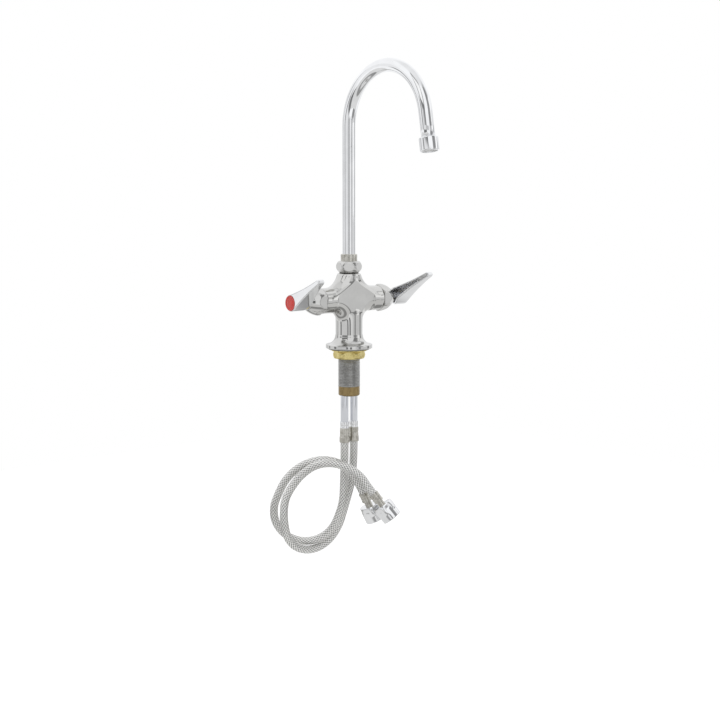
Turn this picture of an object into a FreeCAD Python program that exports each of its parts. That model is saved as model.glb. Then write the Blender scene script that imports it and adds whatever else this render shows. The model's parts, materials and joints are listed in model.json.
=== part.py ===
import FreeCAD, Part
import math
import os
import Sketcher
from FreeCAD import Placement, Rotation, Vector

# Deck-mount mixing faucet with a swivel gooseneck, two quarter-turn levers and two braided hoses.
# Millimetres. Z is up, the spout points to -Y at rest, the arms lie along X, hot on the -X side.
# The origin is the centre of the base flange's underside, where it sits on the deck.

document = FreeCAD.newDocument("MixingFaucet")
sheet = document.addObject("Spreadsheet::Sheet", "Sizes")

dimensions = {
    # mixing body
    "flangeRadius": 28.6,
    "flangeRim": 4.2,
    "flangeSlope": 9.8,
    "flangeRound": 1.5,
    "flangeHollow": 2.2,
    "columnRadius": 16.5,
    "columnShoulder": 41.0,
    "columnBlend": 10.0,
    "neckRadius": 14.3,
    "neckTop": 92.4,
    "neckRound": 2.4,
    "neckFillet": 24.0,
    "armHeight": 60.0,
    "armRadius": 15.3,
    "armLength": 45.0,
    "faceHalfDepth": 14.6,
    "shoulderRise": 25.1,
    "shoulderReach": 35.0,
    "shoulderEnd": 4.6,
    "armFillet": 14.0,
    "armOverlap": 2.0,
    "faceInset": 0.1,
    "crossInset": 0.5,
    "neckInset": 0.6,
    "shoulderRound": 0.6,
    "passageRadius": 4.0,
    "mixingBoreRadius": 6.0,
    "inletDrillRadius": 2.1,
    "inletDrillDrop": 8.4,
    # mounting shank and its hardware
    "shankRadius": 13.5,
    "shankTipRadius": 13.2,
    "shankLength": 58.7,
    "shankTip": 11.7,
    "shankEngagement": 12.0,
    "shankChamfer": 1.2,
    "gasketThickness": 1.8,
    "gasketRecess": 0.6,
    "gasketRadius": 25.4,
    "washerThickness": 1.6,
    "washerRadius": 21.8,
    "locknutThickness": 9.2,
    "locknutFlats": 36.4,
    "locknutCorner": 19.8,
    "locknutChamfer": 1.4,
    "hardwareGap": 0.2,
    "nutTurn": 20.8,
    # supply tubes and hoses
    "tubeSpacing": 14.8,
    "tubeRadius": 4.75,
    "tubeBore": 3.6,
    "tubeSocket": 12.0,
    "tubeSealThickness": 1.6,
    "tubeSealBore": 3.0,
    "tubeEnd": 99.0,
    "collarRadius": 5.7,
    "collarLength": 8.0,
    "ferruleRadius": 6.0,
    "ferruleLength": 18.0,
    "ferruleWall": 2.0,
    "ferruleBead": 0.35,
    "beadLength": 1.5,
    "hoseBore": 2.6,
    "hoseRadius": 5.1,
    "lowerFerruleLength": 12.0,
    "tailRadius": 4.3,
    "tailLength": 8.0,
    "tailFlangeRadius": 8.8,
    "tailFlange": 2.0,
    "tailNoseRadius": 6.2,
    "tailNose": 2.5,
    "hoseWasherRadius": 9.6,
    "hoseWasherThickness": 2.4,
    "nutFlats": 23.8,
    "nutCorner": 13.2,
    "nutHex": 12.5,
    "nutCollarRadius": 12.2,
    "nutCollar": 8.0,
    "nutChamfer": 1.6,
    "nutThreadRadius": 10.2,
    "nutReliefRadius": 10.6,
    "nutBackWall": 2.6,
    "looseFit": 0.05,
    # valve cartridges
    "spigotRadius": 13.2,
    "spigotLength": 8.0,
    "armBoreRadius": 10.6,
    "armBoreFloor": 24.0,
    "sealThickness": 2.4,
    "sealRadius": 6.2,
    "noseRadius": 7.6,
    "noseLength": 8.0,
    "discRadius": 6.4,
    "discThickness": 2.4,
    "discPortRadius": 1.5,
    "discPortOffset": 3.4,
    "cartridgeRadius": 10.5,
    "cartridgeFlangeRadius": 12.6,
    "cartridgeFlange": 2.2,
    "cartridgeNeckRadius": 8.2,
    "stemRadius": 4.4,
    "stemFoot": 2.2,
    "stemSquare": 6.0,
    "ringGrooveDepth": 1.0,
    "ringWidth": 1.8,
    # bonnets
    "bonnetLength": 21.0,
    "bonnetFlats": 30.4,
    "bonnetCorner": 17.0,
    "bonnetEndRadius": 9.4,
    "bonnetStraight": 5.0,
    "bonnetCrown": 1.2,
    # lever handles
    "leverGap": 1.0,
    "leverDepth": 23.0,
    "hubRadius": 10.0,
    "leverReach": 62.0,
    "leverTipRadius": 3.0,
    "leverTipWidth": 8.5,
    "leverWaist": 1.4,
    "leverRimPeak": 10.0,
    "leverSag": 0.6,
    "leverRimDrop": 8.0,
    "hotLeverLift": 27.5,
    "coldLeverLift": 30.0,
    "leverWall": 2.2,
    "leverBack": 3.0,
    "leverScoopReach": 44.0,
    "leverBossRadius": 5.6,
    "leverBossInset": 1.0,
    "leverRound": 1.3,
    "buttonRadius": 9.0,
    "buttonSeat": 1.9,
    "buttonThickness": 2.5,
    "buttonCrown": 0.6,
    "screwRadius": 1.9,
    "screwHeadRadius": 3.8,
    "screwHead": 1.8,
    "screwLength": 10.0,
    "screwWall": 2.0,
    # gooseneck spout
    "spoutRadius": 7.94,
    "spoutWall": 1.2,
    "springLine": 267.2,
    "bendRadius": 68.3,
    "bendAngle": 170.0,
    "spoutTail": 29.0,
    "spoutNutBottom": 93.4,
    "spoutNutHeight": 13.5,
    "spoutNutFlats": 28.2,
    "spoutNutCorner": 15.8,
    "spoutNutEndRadius": 12.7,
    "spoutNutLip": 2.6,
    "spigotTopRadius": 11.5,
    "spigotTopLength": 8.4,
    "spoutFerruleRadius": 10.1,
    "spoutFerruleTop": 115.4,
    "spoutPlugRadius": 9.3,
    "spoutPlugBottom": 84.0,
    "tubeStop": 13.0,
    "snapRingRadius": 11.2,
    "snapRingThickness": 1.4,
    "snapGrooveDepth": 0.6,
    "snapGap": 3.0,
    "bearingThickness": 1.4,
    "spoutRingPitch": 6.0,
    "spoutRingInset": 3.0,
    # outlet
    "outletRadius": 11.0,
    "outletLength": 16.0,
    "outletRound": 1.4,
    "outletCavityRadius": 9.0,
    "outletCavity": 9.6,
    "outletEntry": 5.0,
    "outletGasketThickness": 1.2,
    "insertRecess": 1.6,
    "insertThickness": 6.2,
    "insertHoleRadius": 1.0,
    "holeCircleRadius": 5.8,
    "screenThickness": 1.2,
    "screenHoleRadius": 0.8,
}

for row, (alias, value) in enumerate(dimensions.items(), start=1):
    sheet.set(f"A{row}", alias)
    sheet.set(f"B{row}", str(value))
    sheet.setAlias(f"B{row}", alias)
document.recompute()


# A length with its present value and the sheet formula that drives it.
class Size:
    def __init__(self, value, formula):
        self.value = float(value)
        self.formula = formula

    def __add__(self, other):
        other = asSize(other)
        return Size(self.value + other.value, f"({self.formula} + {other.formula})")

    def __radd__(self, other):
        return asSize(other) + self

    def __sub__(self, other):
        other = asSize(other)
        return Size(self.value - other.value, f"({self.formula} - {other.formula})")

    def __rsub__(self, other):
        return asSize(other) - self

    def __mul__(self, other):
        other = asSize(other)
        return Size(self.value * other.value, f"({self.formula} * {other.formula})")

    def __rmul__(self, other):
        return asSize(other) * self

    def __truediv__(self, other):
        other = asSize(other)
        return Size(self.value / other.value, f"({self.formula} / {other.formula})")

    def __neg__(self):
        return Size(-self.value, f"(0 - {self.formula})")

    def root(self):
        return Size(math.sqrt(self.value), f"sqrt({self.formula})")

    def sine(self):
        return Size(math.sin(math.radians(self.value)), f"sin({self.formula})")

    def cosine(self):
        return Size(math.cos(math.radians(self.value)), f"cos({self.formula})")


def asSize(number):
    return number if isinstance(number, Size) else Size(number, str(number))


# The sheet's cells by their names.
class SheetSizes:
    def __getattr__(self, alias):
        return Size(float(sheet.get(alias)), f"Sizes.{alias}")


s = SheetSizes()


def bind(feature, propertyName, size):
    feature.setExpression(propertyName, asSize(size).formula)


def newBody(label):
    body = document.addObject("PartDesign::Body", label)
    body.Label = label
    return body


def newSketch(body, plane, name, up=None, along="z"):
    # Sketch on one of the body's own origin planes, moved along one of its own axes.
    sketch = body.newObject("Sketcher::SketchObject", name)
    support = [item for item in body.Origin.OriginFeatures if item.Role == plane][0]
    sketch.AttachmentSupport = [(support, "")]
    sketch.MapMode = "FlatFace"
    if up is not None:
        bind(sketch, f"AttachmentOffset.Base.{along}", up)
    return sketch


def endIndex(sketch, edge, target):
    # Which end of an edge, 1 or 2, lies at the target.
    gap = (sketch.getPoint(edge, 1) - target).Length
    return 1 if gap < (sketch.getPoint(edge, 2) - target).Length else 2


def pinPoint(sketch, edge, end, across, up):
    # Holds one point of a sketch at its place.
    for kind, size in (("DistanceX", across), ("DistanceY", up)):
        number = sketch.addConstraint(Sketcher.Constraint(kind, edge, end, size.value))
        bind(sketch, f"Constraints[{number}]", size)


def drawOutline(sketch, corners, closed=True):
    # A corner is (across, up), or (across, up, rise) where the edge that arrives there is
    # an arc with that rise, to the left of its travel when positive.
    corners = [tuple(asSize(item) for item in corner) for corner in corners]
    places = [Vector(corner[0].value, corner[1].value, 0) for corner in corners]
    edges = {}
    for index in range(0 if closed else 1, len(corners)):
        corner = corners[index]
        start = places[index - 1]
        end = places[index]
        if len(corner) == 3:
            chord = end - start
            left = Vector(-chord.y, chord.x, 0).normalize()
            middle = (start + end) * 0.5 + left * corner[2].value
            edges[index] = sketch.addGeometry(Part.Arc(start, middle, end), False)
        else:
            edges[index] = sketch.addGeometry(Part.LineSegment(start, end), False)
    for index, edge in edges.items():
        corner = corners[index]
        here = places[index]
        end = endIndex(sketch, edge, here)
        following = edges.get((index + 1) % len(corners))
        if following is not None:
            start = endIndex(sketch, following, here)
            sketch.addConstraint(Sketcher.Constraint("Coincident", edge, end, following, start))
        pinPoint(sketch, edge, end, corner[0], corner[1])
        if len(corner) == 3:
            back = corners[index - 1]
            across = corner[0] - back[0]
            up = corner[1] - back[1]
            rise = corner[2] if corner[2].value > 0 else -corner[2]
            radius = ((across * across + up * up) / 4 + rise * rise) / (2 * rise)
            number = sketch.addConstraint(Sketcher.Constraint("Radius", edge, radius.value))
            bind(sketch, f"Constraints[{number}]", radius)
    if not closed:
        start = endIndex(sketch, edges[1], places[0])
        pinPoint(sketch, edges[1], start, corners[0][0], corners[0][1])


def drawCircle(sketch, across, up, radius):
    across = asSize(across)
    up = asSize(up)
    radius = asSize(radius)
    centre = Vector(across.value, up.value, 0)
    edge = sketch.addGeometry(Part.Circle(centre, Vector(0, 0, 1), radius.value), False)
    pinPoint(sketch, edge, 3, across, up)
    number = sketch.addConstraint(Sketcher.Constraint("Radius", edge, radius.value))
    bind(sketch, f"Constraints[{number}]", radius)


def regularCorners(flats, sides=6):
    # Corners of a regular outline, given its width across flats.
    reach = flats / (2 * math.cos(math.pi / sides))
    turns = [2 * math.pi * index / sides for index in range(sides)]
    return [(reach * math.cos(turn), reach * math.sin(turn)) for turn in turns]


def spin(body, kind, outlines, name, axis="V_Axis", up=None):
    # Revolution or groove of outlines on the XZ plane, about the sketch's own axis.
    sketch = newSketch(body, "XZ_Plane", f"{name}Outline", up, "y")
    for corners in outlines:
        drawOutline(sketch, corners)
    feature = body.newObject(f"PartDesign::{kind}", name)
    feature.Profile = sketch
    feature.ReferenceAxis = (sketch, [axis])
    feature.Angle = 360
    sketch.Visibility = False
    return feature


def ringOutline(innerRadius, outerRadius, bottom, top):
    return [(innerRadius, bottom), (outerRadius, bottom), (outerRadius, top), (innerRadius, top)]


def extrude(body, kind, draw, bottom, height, name):
    # Pad or pocket of a sketch drawn at height bottom, reaching upward by height.
    sketch = newSketch(body, "XY_Plane", f"{name}Outline", bottom)
    draw(sketch)
    feature = body.newObject(f"PartDesign::{kind}", name)
    feature.Profile = sketch
    feature.Reversed = kind == "Pocket"
    bind(feature, "Length", height)
    sketch.Visibility = False
    return feature


def followPath(body, name, plane, corners, radii, across, up):
    # Pipe of round section, drawn at (across, up), along a path on a vertical plane.
    path = newSketch(body, plane, f"{name}Path")
    drawOutline(path, corners, closed=False)
    section = newSketch(body, "XY_Plane", f"{name}Section", up)
    for radius in radii:
        drawCircle(section, across, 0, radius)
    document.recompute()
    pipe = body.newObject("PartDesign::AdditivePipe", name)
    pipe.Profile = section
    pipe.Spine = (path, [f"Edge{number}" for number in range(1, len(corners))])
    return pipe


def repeat(body, feature, count, name):
    # Copies of a feature round the body's Z axis.
    pattern = body.newObject("PartDesign::PolarPattern", name)
    pattern.Originals = [feature]
    axis = [item for item in body.Origin.OriginFeatures if item.Role == "Z_Axis"][0]
    pattern.Axis = (axis, [""])
    pattern.Angle = 360
    pattern.Occurrences = count
    body.Tip = pattern
    return pattern


def dressEdges(body, kind, size, chosen, name):
    # Fillet or chamfer on the edges of the tip that the test chooses.
    document.recompute()
    base = body.Tip
    names = [f"Edge{index + 1}" for index, edge in enumerate(base.Shape.Edges) if chosen(edge)]
    if not names:
        raise RuntimeError(f"no edge chosen for {name}")
    feature = body.newObject(f"PartDesign::{kind}", name)
    feature.Base = (base, names)
    bind(feature, "Radius" if kind == "Fillet" else "Size", size)
    return feature


def isCircle(edge, radius, height):
    # Whether an edge is a circle about Z with this radius at this height.
    if not isinstance(edge.Curve, Part.Circle):
        return False
    rightSize = abs(edge.Curve.Radius - asSize(radius).value) < 0.001
    return rightSize and abs(edge.CenterOfMass.z - asSize(height).value) < 0.001


def placeAt(body, across=0, depth=0, height=0, rotation=None):
    body.Placement = Placement(Vector(0, 0, 0), rotation or Rotation())
    for axis, size in (("x", across), ("y", depth), ("z", height)):
        bind(body, f"Placement.Base.{axis}", size)


def alongArm(side):
    # Turns local Z outward along an arm, with local Y up.
    outward = Vector(side, 0, 0)
    upward = Vector(0, 0, 1)
    return Rotation(upward.cross(outward), upward, outward, "ZYX")


def onArm(body, side, turn=0):
    # A turn about the arm sets how a nut's flats lie.
    placeAt(body, height=s.armHeight, rotation=alongArm(side) * Rotation(Vector(0, 0, 1), turn))
    return body


def simpleRing(label, innerRadius, outerRadius, bottom, top):
    body = newBody(label)
    spin(body, "Revolution", [ringOutline(innerRadius, outerRadius, bottom, top)], f"{label}_ring")
    return body


quarterRise = 1 - math.sqrt(0.5)
beyond = 1.0
farOut = 60.0


def mirrored(corners):
    # The same outline on the other side of the V axis.
    return [(-corner[0],) + tuple(corner[1:]) for corner in corners]


def nutBlank(body, flats, bottom, height, name):
    extrude(body, "Pad", lambda sketch: drawOutline(sketch, regularCorners(flats)), bottom, height, name)


def turnCorners(body, cornerRadius, chamfer, bottom, top, name):
    # Turns a nut's corners down to a circle and chamfers both its ends.
    outline = [
        (cornerRadius - chamfer, bottom),
        (farOut, bottom),
        (farOut, top),
        (cornerRadius - chamfer, top),
        (cornerRadius, top - chamfer / 2),
        (cornerRadius, bottom + chamfer / 2),
    ]
    spin(body, "Groove", [outline], name)


def makeMixingBody():
    body = newBody("mixing_body")
    # flat-faced cross with sloping shoulders, down to the middle line of the arms' elbows
    elbowRadius = s.faceHalfDepth
    elbowBend = s.armFillet + elbowRadius
    elbowAcross = s.columnRadius - s.crossInset + s.armFillet
    elbowUp = s.armHeight - s.armRadius + s.crossInset - s.armFillet
    elbowTop = elbowUp + elbowBend
    rise = elbowBend * quarterRise
    shoulder = s.armHeight + s.shoulderEnd
    sketch = newSketch(body, "XZ_Plane", "CrossOutline")
    drawOutline(sketch, [
        (s.shoulderReach, elbowTop),
        (s.shoulderReach, shoulder),
        (0, s.armHeight + s.shoulderRise),
        (-s.shoulderReach, shoulder),
        (-s.shoulderReach, elbowTop),
        (-elbowAcross, elbowTop),
        (elbowBend - elbowAcross, elbowUp, rise),
        (elbowAcross - elbowBend, elbowUp),
        (elbowAcross, elbowTop, rise),
    ])
    cross = body.newObject("PartDesign::Pad", "Cross")
    cross.Profile = sketch
    cross.SideType = "Symmetric"
    bind(cross, "Length", (s.faceHalfDepth - s.faceInset) * 2)

    def shoulderEdge(edge):
        middle = edge.CenterOfMass
        onFace = abs(abs(middle.y) - (s.faceHalfDepth - s.faceInset).value) < 0.001
        return onFace and middle.z > shoulder.value

    dressEdges(body, "Fillet", s.shoulderRound, shoulderEdge, "ShoulderRound")

    def addElbow(side, across, height, radius, bend, downward):
        # quarter of a round pipe between the arm and the body's upright
        sketch = newSketch(body, "XY_Plane", "ElbowSection", height)
        drawCircle(sketch, (across - bend) * side, 0, radius)
        drawOutline(sketch, [(across * side, -radius), (across * side, radius)], closed=False)
        sketch.toggleConstruction(1)
        elbow = body.newObject("PartDesign::Revolution", "Elbow")
        elbow.Profile = sketch
        elbow.ReferenceAxis = (sketch, ["Axis0"])
        elbow.Angle = 90
        elbow.Reversed = (side < 0) != downward

    # elbows under the arms, hollow toward the column, and wider ones over them, toward the neck
    upperRadius = s.neckRadius - s.neckInset
    upperAcross = upperRadius + s.neckFillet
    upperHeight = s.armHeight + s.armRadius - s.crossInset + s.neckFillet
    for side in (1, -1):
        addElbow(side, elbowAcross, elbowUp, elbowRadius, elbowBend, False)
        addElbow(side, upperAcross, upperHeight, upperRadius, upperRadius + s.neckFillet, True)
    # rounded end of the neck
    roundFoot = s.neckTop - s.neckRound
    neckRise = s.neckRound * quarterRise
    neckEnd = [
        (0, s.neckTop),
        (s.neckRadius - s.neckRound, s.neckTop),
        (s.neckRadius, roundFoot, neckRise),
        (farOut, roundFoot),
        (farOut, upperHeight + beyond),
        (0, upperHeight + beyond),
    ]
    spin(body, "Groove", [neckEnd], "NeckEnd")
    # round arms with a threaded spigot at each end
    armStart = elbowAcross - s.armOverlap
    armEnd = s.armLength + s.spigotLength
    arm = [
        (armStart, 0),
        (armEnd, 0),
        (armEnd, s.spigotRadius),
        (s.armLength, s.spigotRadius),
        (s.armLength, s.armRadius),
        (armStart, s.armRadius),
    ]
    spin(body, "Revolution", [arm, mirrored(arm)], "Arms", "H_Axis", s.armHeight)
    # base flange, column, neck and the spout nut's spigot
    spigotTop = s.neckTop + s.spigotTopLength
    column = [
        (0, 0),
        (s.flangeRadius - s.flangeRound, 0),
        (s.flangeRadius, s.flangeRound, -s.flangeRound * quarterRise),
        (s.flangeRadius, s.flangeRim),
        (s.flangeRadius - s.flangeRound, s.flangeRim + s.flangeRound, -s.flangeRound * quarterRise),
        (s.columnRadius, s.flangeRim + s.flangeSlope, s.flangeHollow),
        (s.columnRadius, s.columnShoulder),
        (s.neckRadius, s.columnShoulder + s.columnBlend),
        (s.neckRadius, roundFoot),
        (s.neckRadius - s.neckRound, s.neckTop, -neckRise),
        (s.spigotTopRadius, s.neckTop),
        (s.spigotTopRadius, spigotTop),
        (0, spigotTop),
    ]
    spin(body, "Revolution", [column], "Column")
    # socket for the spout plug, over the mixing bore
    socket = [
        (0, s.armHeight),
        (s.mixingBoreRadius, s.armHeight),
        (s.mixingBoreRadius, s.spoutPlugBottom - s.hardwareGap),
        (s.spoutPlugRadius + s.looseFit, s.spoutPlugBottom - s.hardwareGap),
        (s.spoutPlugRadius + s.looseFit, spigotTop + beyond),
        (0, spigotTop + beyond),
    ]
    spin(body, "Groove", [socket], "SpoutSocket")
    # cartridge bores, joined by the outlet passage
    bores = [
        (-armEnd - beyond, 0),
        (armEnd + beyond, 0),
        (armEnd + beyond, s.armBoreRadius),
        (s.armBoreFloor, s.armBoreRadius),
        (s.armBoreFloor, s.passageRadius),
        (-s.armBoreFloor, s.passageRadius),
        (-s.armBoreFloor, s.armBoreRadius),
        (-armEnd - beyond, s.armBoreRadius),
    ]
    spin(body, "Groove", [bores], "CartridgeBores", "H_Axis", s.armHeight)
    # gasket recess and shank socket, then a port and a riser for each supply tube
    shankSocket = [
        (0, -beyond),
        (s.gasketRadius + s.looseFit, -beyond),
        (s.gasketRadius + s.looseFit, s.gasketRecess),
        (s.shankRadius + s.looseFit, s.gasketRecess),
        (s.shankRadius + s.looseFit, s.shankEngagement),
        (0, s.shankEngagement),
    ]
    spin(body, "Groove", [shankSocket], "ShankSocket")

    def twoCircles(radius):
        def draw(target):
            drawCircle(target, s.tubeSpacing / 2, 0, radius)
            drawCircle(target, -s.tubeSpacing / 2, 0, radius)
        return draw

    drillHeight = s.armHeight - s.inletDrillDrop
    extrude(body, "Pocket", twoCircles(s.tubeRadius + s.looseFit), s.shankEngagement, s.tubeSocket,
            "TubePorts")
    riserFoot = s.shankEngagement + s.tubeSocket
    extrude(body, "Pocket", twoCircles(s.inletDrillRadius), riserFoot, drillHeight - riserFoot, "Risers")
    drill = [
        (s.tubeSpacing / 2, 0),
        (s.armBoreFloor + beyond, 0),
        (s.armBoreFloor + beyond, s.inletDrillRadius),
        (s.tubeSpacing / 2, s.inletDrillRadius),
    ]
    spin(body, "Groove", [drill, mirrored(drill)], "InletDrills", "H_Axis", drillHeight)
    placeAt(body)


def makeShank():
    body = newBody("mounting_shank")
    foot = -s.shankLength
    outline = [
        (0, foot),
        (s.shankTipRadius - s.shankChamfer, foot),
        (s.shankTipRadius, foot + s.shankChamfer),
        (s.shankTipRadius, foot + s.shankTip),
        (s.shankRadius, foot + s.shankTip),
        (s.shankRadius, s.shankEngagement),
        (0, s.shankEngagement),
    ]
    spin(body, "Revolution", [outline], "ShankTurning")

    def draw(sketch):
        for side in (-1, 1):
            drawCircle(sketch, s.tubeSpacing / 2 * side, 0, s.tubeRadius + s.looseFit)

    extrude(body, "Pocket", draw, foot, s.shankLength + s.shankEngagement, "TubeBores")


def makeDeckHardware():
    bore = s.shankRadius + s.looseFit
    gasketBottom = s.gasketRecess - s.gasketThickness
    washerTop = gasketBottom - s.hardwareGap
    nutTop = washerTop - s.washerThickness - s.hardwareGap
    nutBottom = nutTop - s.locknutThickness
    simpleRing("deck_gasket", bore, s.gasketRadius, gasketBottom, s.gasketRecess)
    simpleRing("mounting_washer", bore, s.washerRadius, washerTop - s.washerThickness, washerTop)
    body = newBody("mounting_locknut")
    nutBlank(body, s.locknutFlats, nutBottom, s.locknutThickness, "LocknutHex")
    turnCorners(body, s.locknutCorner, s.locknutChamfer, nutBottom, nutTop, "LocknutCorners")
    outline = [(0, nutBottom - beyond), (bore, nutBottom - beyond), (bore, nutTop + beyond),
               (0, nutTop + beyond)]
    spin(body, "Groove", [outline], "LocknutThread")
    placeAt(body, rotation=Rotation(Vector(0, 0, 1), s.nutTurn.value))


def makeSpoutNut():
    body = newBody("spout_nut")
    bottom = s.spoutNutBottom
    top = bottom + s.spoutNutHeight
    lip = top - s.spoutNutLip
    nutBlank(body, s.spoutNutFlats, bottom, s.spoutNutHeight, "SpoutNutHex")
    crown = [
        (s.spoutNutEndRadius, bottom, s.spoutNutCorner - s.spoutNutEndRadius),
        (farOut, bottom),
        (farOut, top),
        (s.spoutNutEndRadius, top),
    ]
    spin(body, "Groove", [crown], "SpoutNutCrown")
    threadRadius = s.spigotTopRadius + s.looseFit
    mouthRadius = s.spoutFerruleRadius + s.looseFit
    bore = [
        (0, bottom - beyond),
        (threadRadius, bottom - beyond),
        (threadRadius, lip),
        (mouthRadius, lip),
        (mouthRadius, top + beyond),
        (0, top + beyond),
    ]
    spin(body, "Groove", [bore], "SpoutNutBore")
    placeAt(body, rotation=Rotation(Vector(0, 0, 1), s.nutTurn.value))


def makeCartridge(side, name):
    # heights run outward along the arm from the faucet's axis
    sealTop = s.armBoreFloor + s.sealThickness
    fixedTop = sealTop + s.discThickness
    turningTop = fixedTop + s.discThickness
    footTop = turningTop + s.stemFoot
    noseTop = sealTop + s.noseLength
    flangeBottom = s.armLength + s.spigotLength
    flangeTop = flangeBottom + s.cartridgeFlange
    neckTop = s.armLength + s.bonnetLength
    leverStart = neckTop + s.leverGap
    stemBore = s.stemRadius + s.looseFit
    cavity = s.discRadius + s.looseFit

    onArm(simpleRing(f"{name}_seat_seal", s.passageRadius, s.sealRadius, s.armBoreFloor, sealTop), side)

    shell = newBody(f"{name}_cartridge_body")
    outline = [
        (cavity, sealTop),
        (s.noseRadius, sealTop),
        (s.noseRadius, noseTop),
        (s.cartridgeRadius, noseTop),
        (s.cartridgeRadius, flangeBottom),
        (s.cartridgeFlangeRadius, flangeBottom),
        (s.cartridgeFlangeRadius, flangeTop),
        (s.cartridgeNeckRadius, flangeTop),
        (s.cartridgeNeckRadius, neckTop),
        (stemBore, neckTop),
        (stemBore, footTop + s.looseFit),
        (cavity, footTop + s.looseFit),
    ]
    spin(shell, "Revolution", [outline], f"{name}_shell")

    def window(sketch):
        half = s.discRadius / 2
        drawOutline(sketch, [(s.discRadius / 2, -half), (s.noseRadius + beyond, -half),
                             (s.noseRadius + beyond, half), (s.discRadius / 2, half)])

    opening = extrude(shell, "Pocket", window, fixedTop, s.discThickness, f"{name}_window")
    repeat(shell, opening, 2, f"{name}_windows")
    onArm(shell, side)

    for label, bottom, turn in (("fixed_disc", sealTop, 0), ("turning_disc", fixedTop, 90)):
        disc = newBody(f"{name}_{label}")
        extrude(disc, "Pad", lambda sketch: drawCircle(sketch, 0, 0, s.discRadius), bottom,
                s.discThickness, f"{name}_{label}_blank")

        def ports(sketch):
            across = s.discPortOffset * math.cos(math.radians(turn))
            up = s.discPortOffset * math.sin(math.radians(turn))
            drawCircle(sketch, across, up, s.discPortRadius)
            drawCircle(sketch, -across, -up, s.discPortRadius)

        extrude(disc, "Pocket", ports, bottom, s.discThickness, f"{name}_{label}_ports")
        onArm(disc, side)

    stem = newBody(f"{name}_stem")
    grooveBottom = flangeBottom - s.ringWidth
    grooveRadius = s.stemRadius - s.ringGrooveDepth
    outline = [
        (0, turningTop),
        (s.discRadius, turningTop),
        (s.discRadius, footTop),
        (s.stemRadius, footTop),
        (s.stemRadius, grooveBottom),
        (grooveRadius, grooveBottom),
        (grooveRadius, flangeBottom),
        (s.stemRadius, flangeBottom),
        (s.stemRadius, leverStart),
        (0, leverStart),
    ]
    spin(stem, "Revolution", [outline], f"{name}_shaft")
    squareTop = leverStart + s.leverDepth - s.buttonSeat - s.screwHead - s.screwWall
    extrude(stem, "Pad", lambda sketch: drawOutline(sketch, squareCorners(s.stemSquare)), leverStart,
            squareTop - leverStart, f"{name}_square")
    extrude(stem, "Pocket", lambda sketch: drawCircle(sketch, 0, 0, s.screwRadius + s.looseFit),
            squareTop - s.screwLength, s.screwLength, f"{name}_tapped_hole")
    onLever(stem, side)
    onArm(simpleRing(f"{name}_stem_packing", grooveRadius, s.stemRadius + s.looseFit / 2, grooveBottom,
                     flangeBottom), side)


def squareCorners(width):
    half = width / 2
    return [(-half, -half), (half, -half), (half, half), (-half, half)]


# turn about the arm that brings a hexagon's corner from the side to the top
cornerUp = 90


def makeBonnet(side, name):
    body = newBody(f"{name}_bonnet")
    bottom = s.armLength + s.hardwareGap
    top = s.armLength + s.bonnetLength
    seat = s.armLength + s.spigotLength + s.cartridgeFlange + s.looseFit
    nutBlank(body, s.bonnetFlats, bottom, top - bottom, f"{name}_bonnet_hex")
    crown = [
        (s.bonnetCorner, bottom),
        (farOut, bottom),
        (farOut, top),
        (s.bonnetEndRadius, top),
        (s.bonnetCorner, bottom + s.bonnetStraight, s.bonnetCrown),
    ]
    spin(body, "Groove", [crown], f"{name}_bonnet_crown")
    threadRadius = s.spigotRadius + s.looseFit
    mouthRadius = s.cartridgeNeckRadius + s.looseFit
    bore = [
        (0, bottom - beyond),
        (threadRadius, bottom - beyond),
        (threadRadius, seat),
        (mouthRadius, seat),
        (mouthRadius, top + beyond),
        (0, top + beyond),
    ]
    spin(body, "Groove", [bore], f"{name}_bonnet_bore")
    onArm(body, side, cornerUp)


def teardrop(hubRadius, tipRadius, tipCentre, waist):
    # Hub circle drawn out to a small tip circle, with hollow sides.
    sine = (hubRadius - tipRadius) / tipCentre
    cosine = (1 - sine * sine).root()
    return [
        (hubRadius * cosine, hubRadius * sine, -hubRadius * (1 + sine)),
        (tipRadius * cosine, tipCentre + tipRadius * sine, waist),
        (-tipRadius * cosine, tipCentre + tipRadius * sine, -tipRadius * (1 - sine)),
        (-hubRadius * cosine, hubRadius * sine, waist),
    ]


def onLever(body, side):
    # Local Z runs outward along the arm and local Y along the blade.
    lift = math.radians((s.hotLeverLift if side < 0 else s.coldLeverLift).value)
    outward = Vector(side, 0, 0)
    blade = Vector(0, -math.cos(lift), math.sin(lift))
    placeAt(body, height=s.armHeight, rotation=Rotation(blade.cross(outward), blade, outward, "ZYX"))


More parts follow.
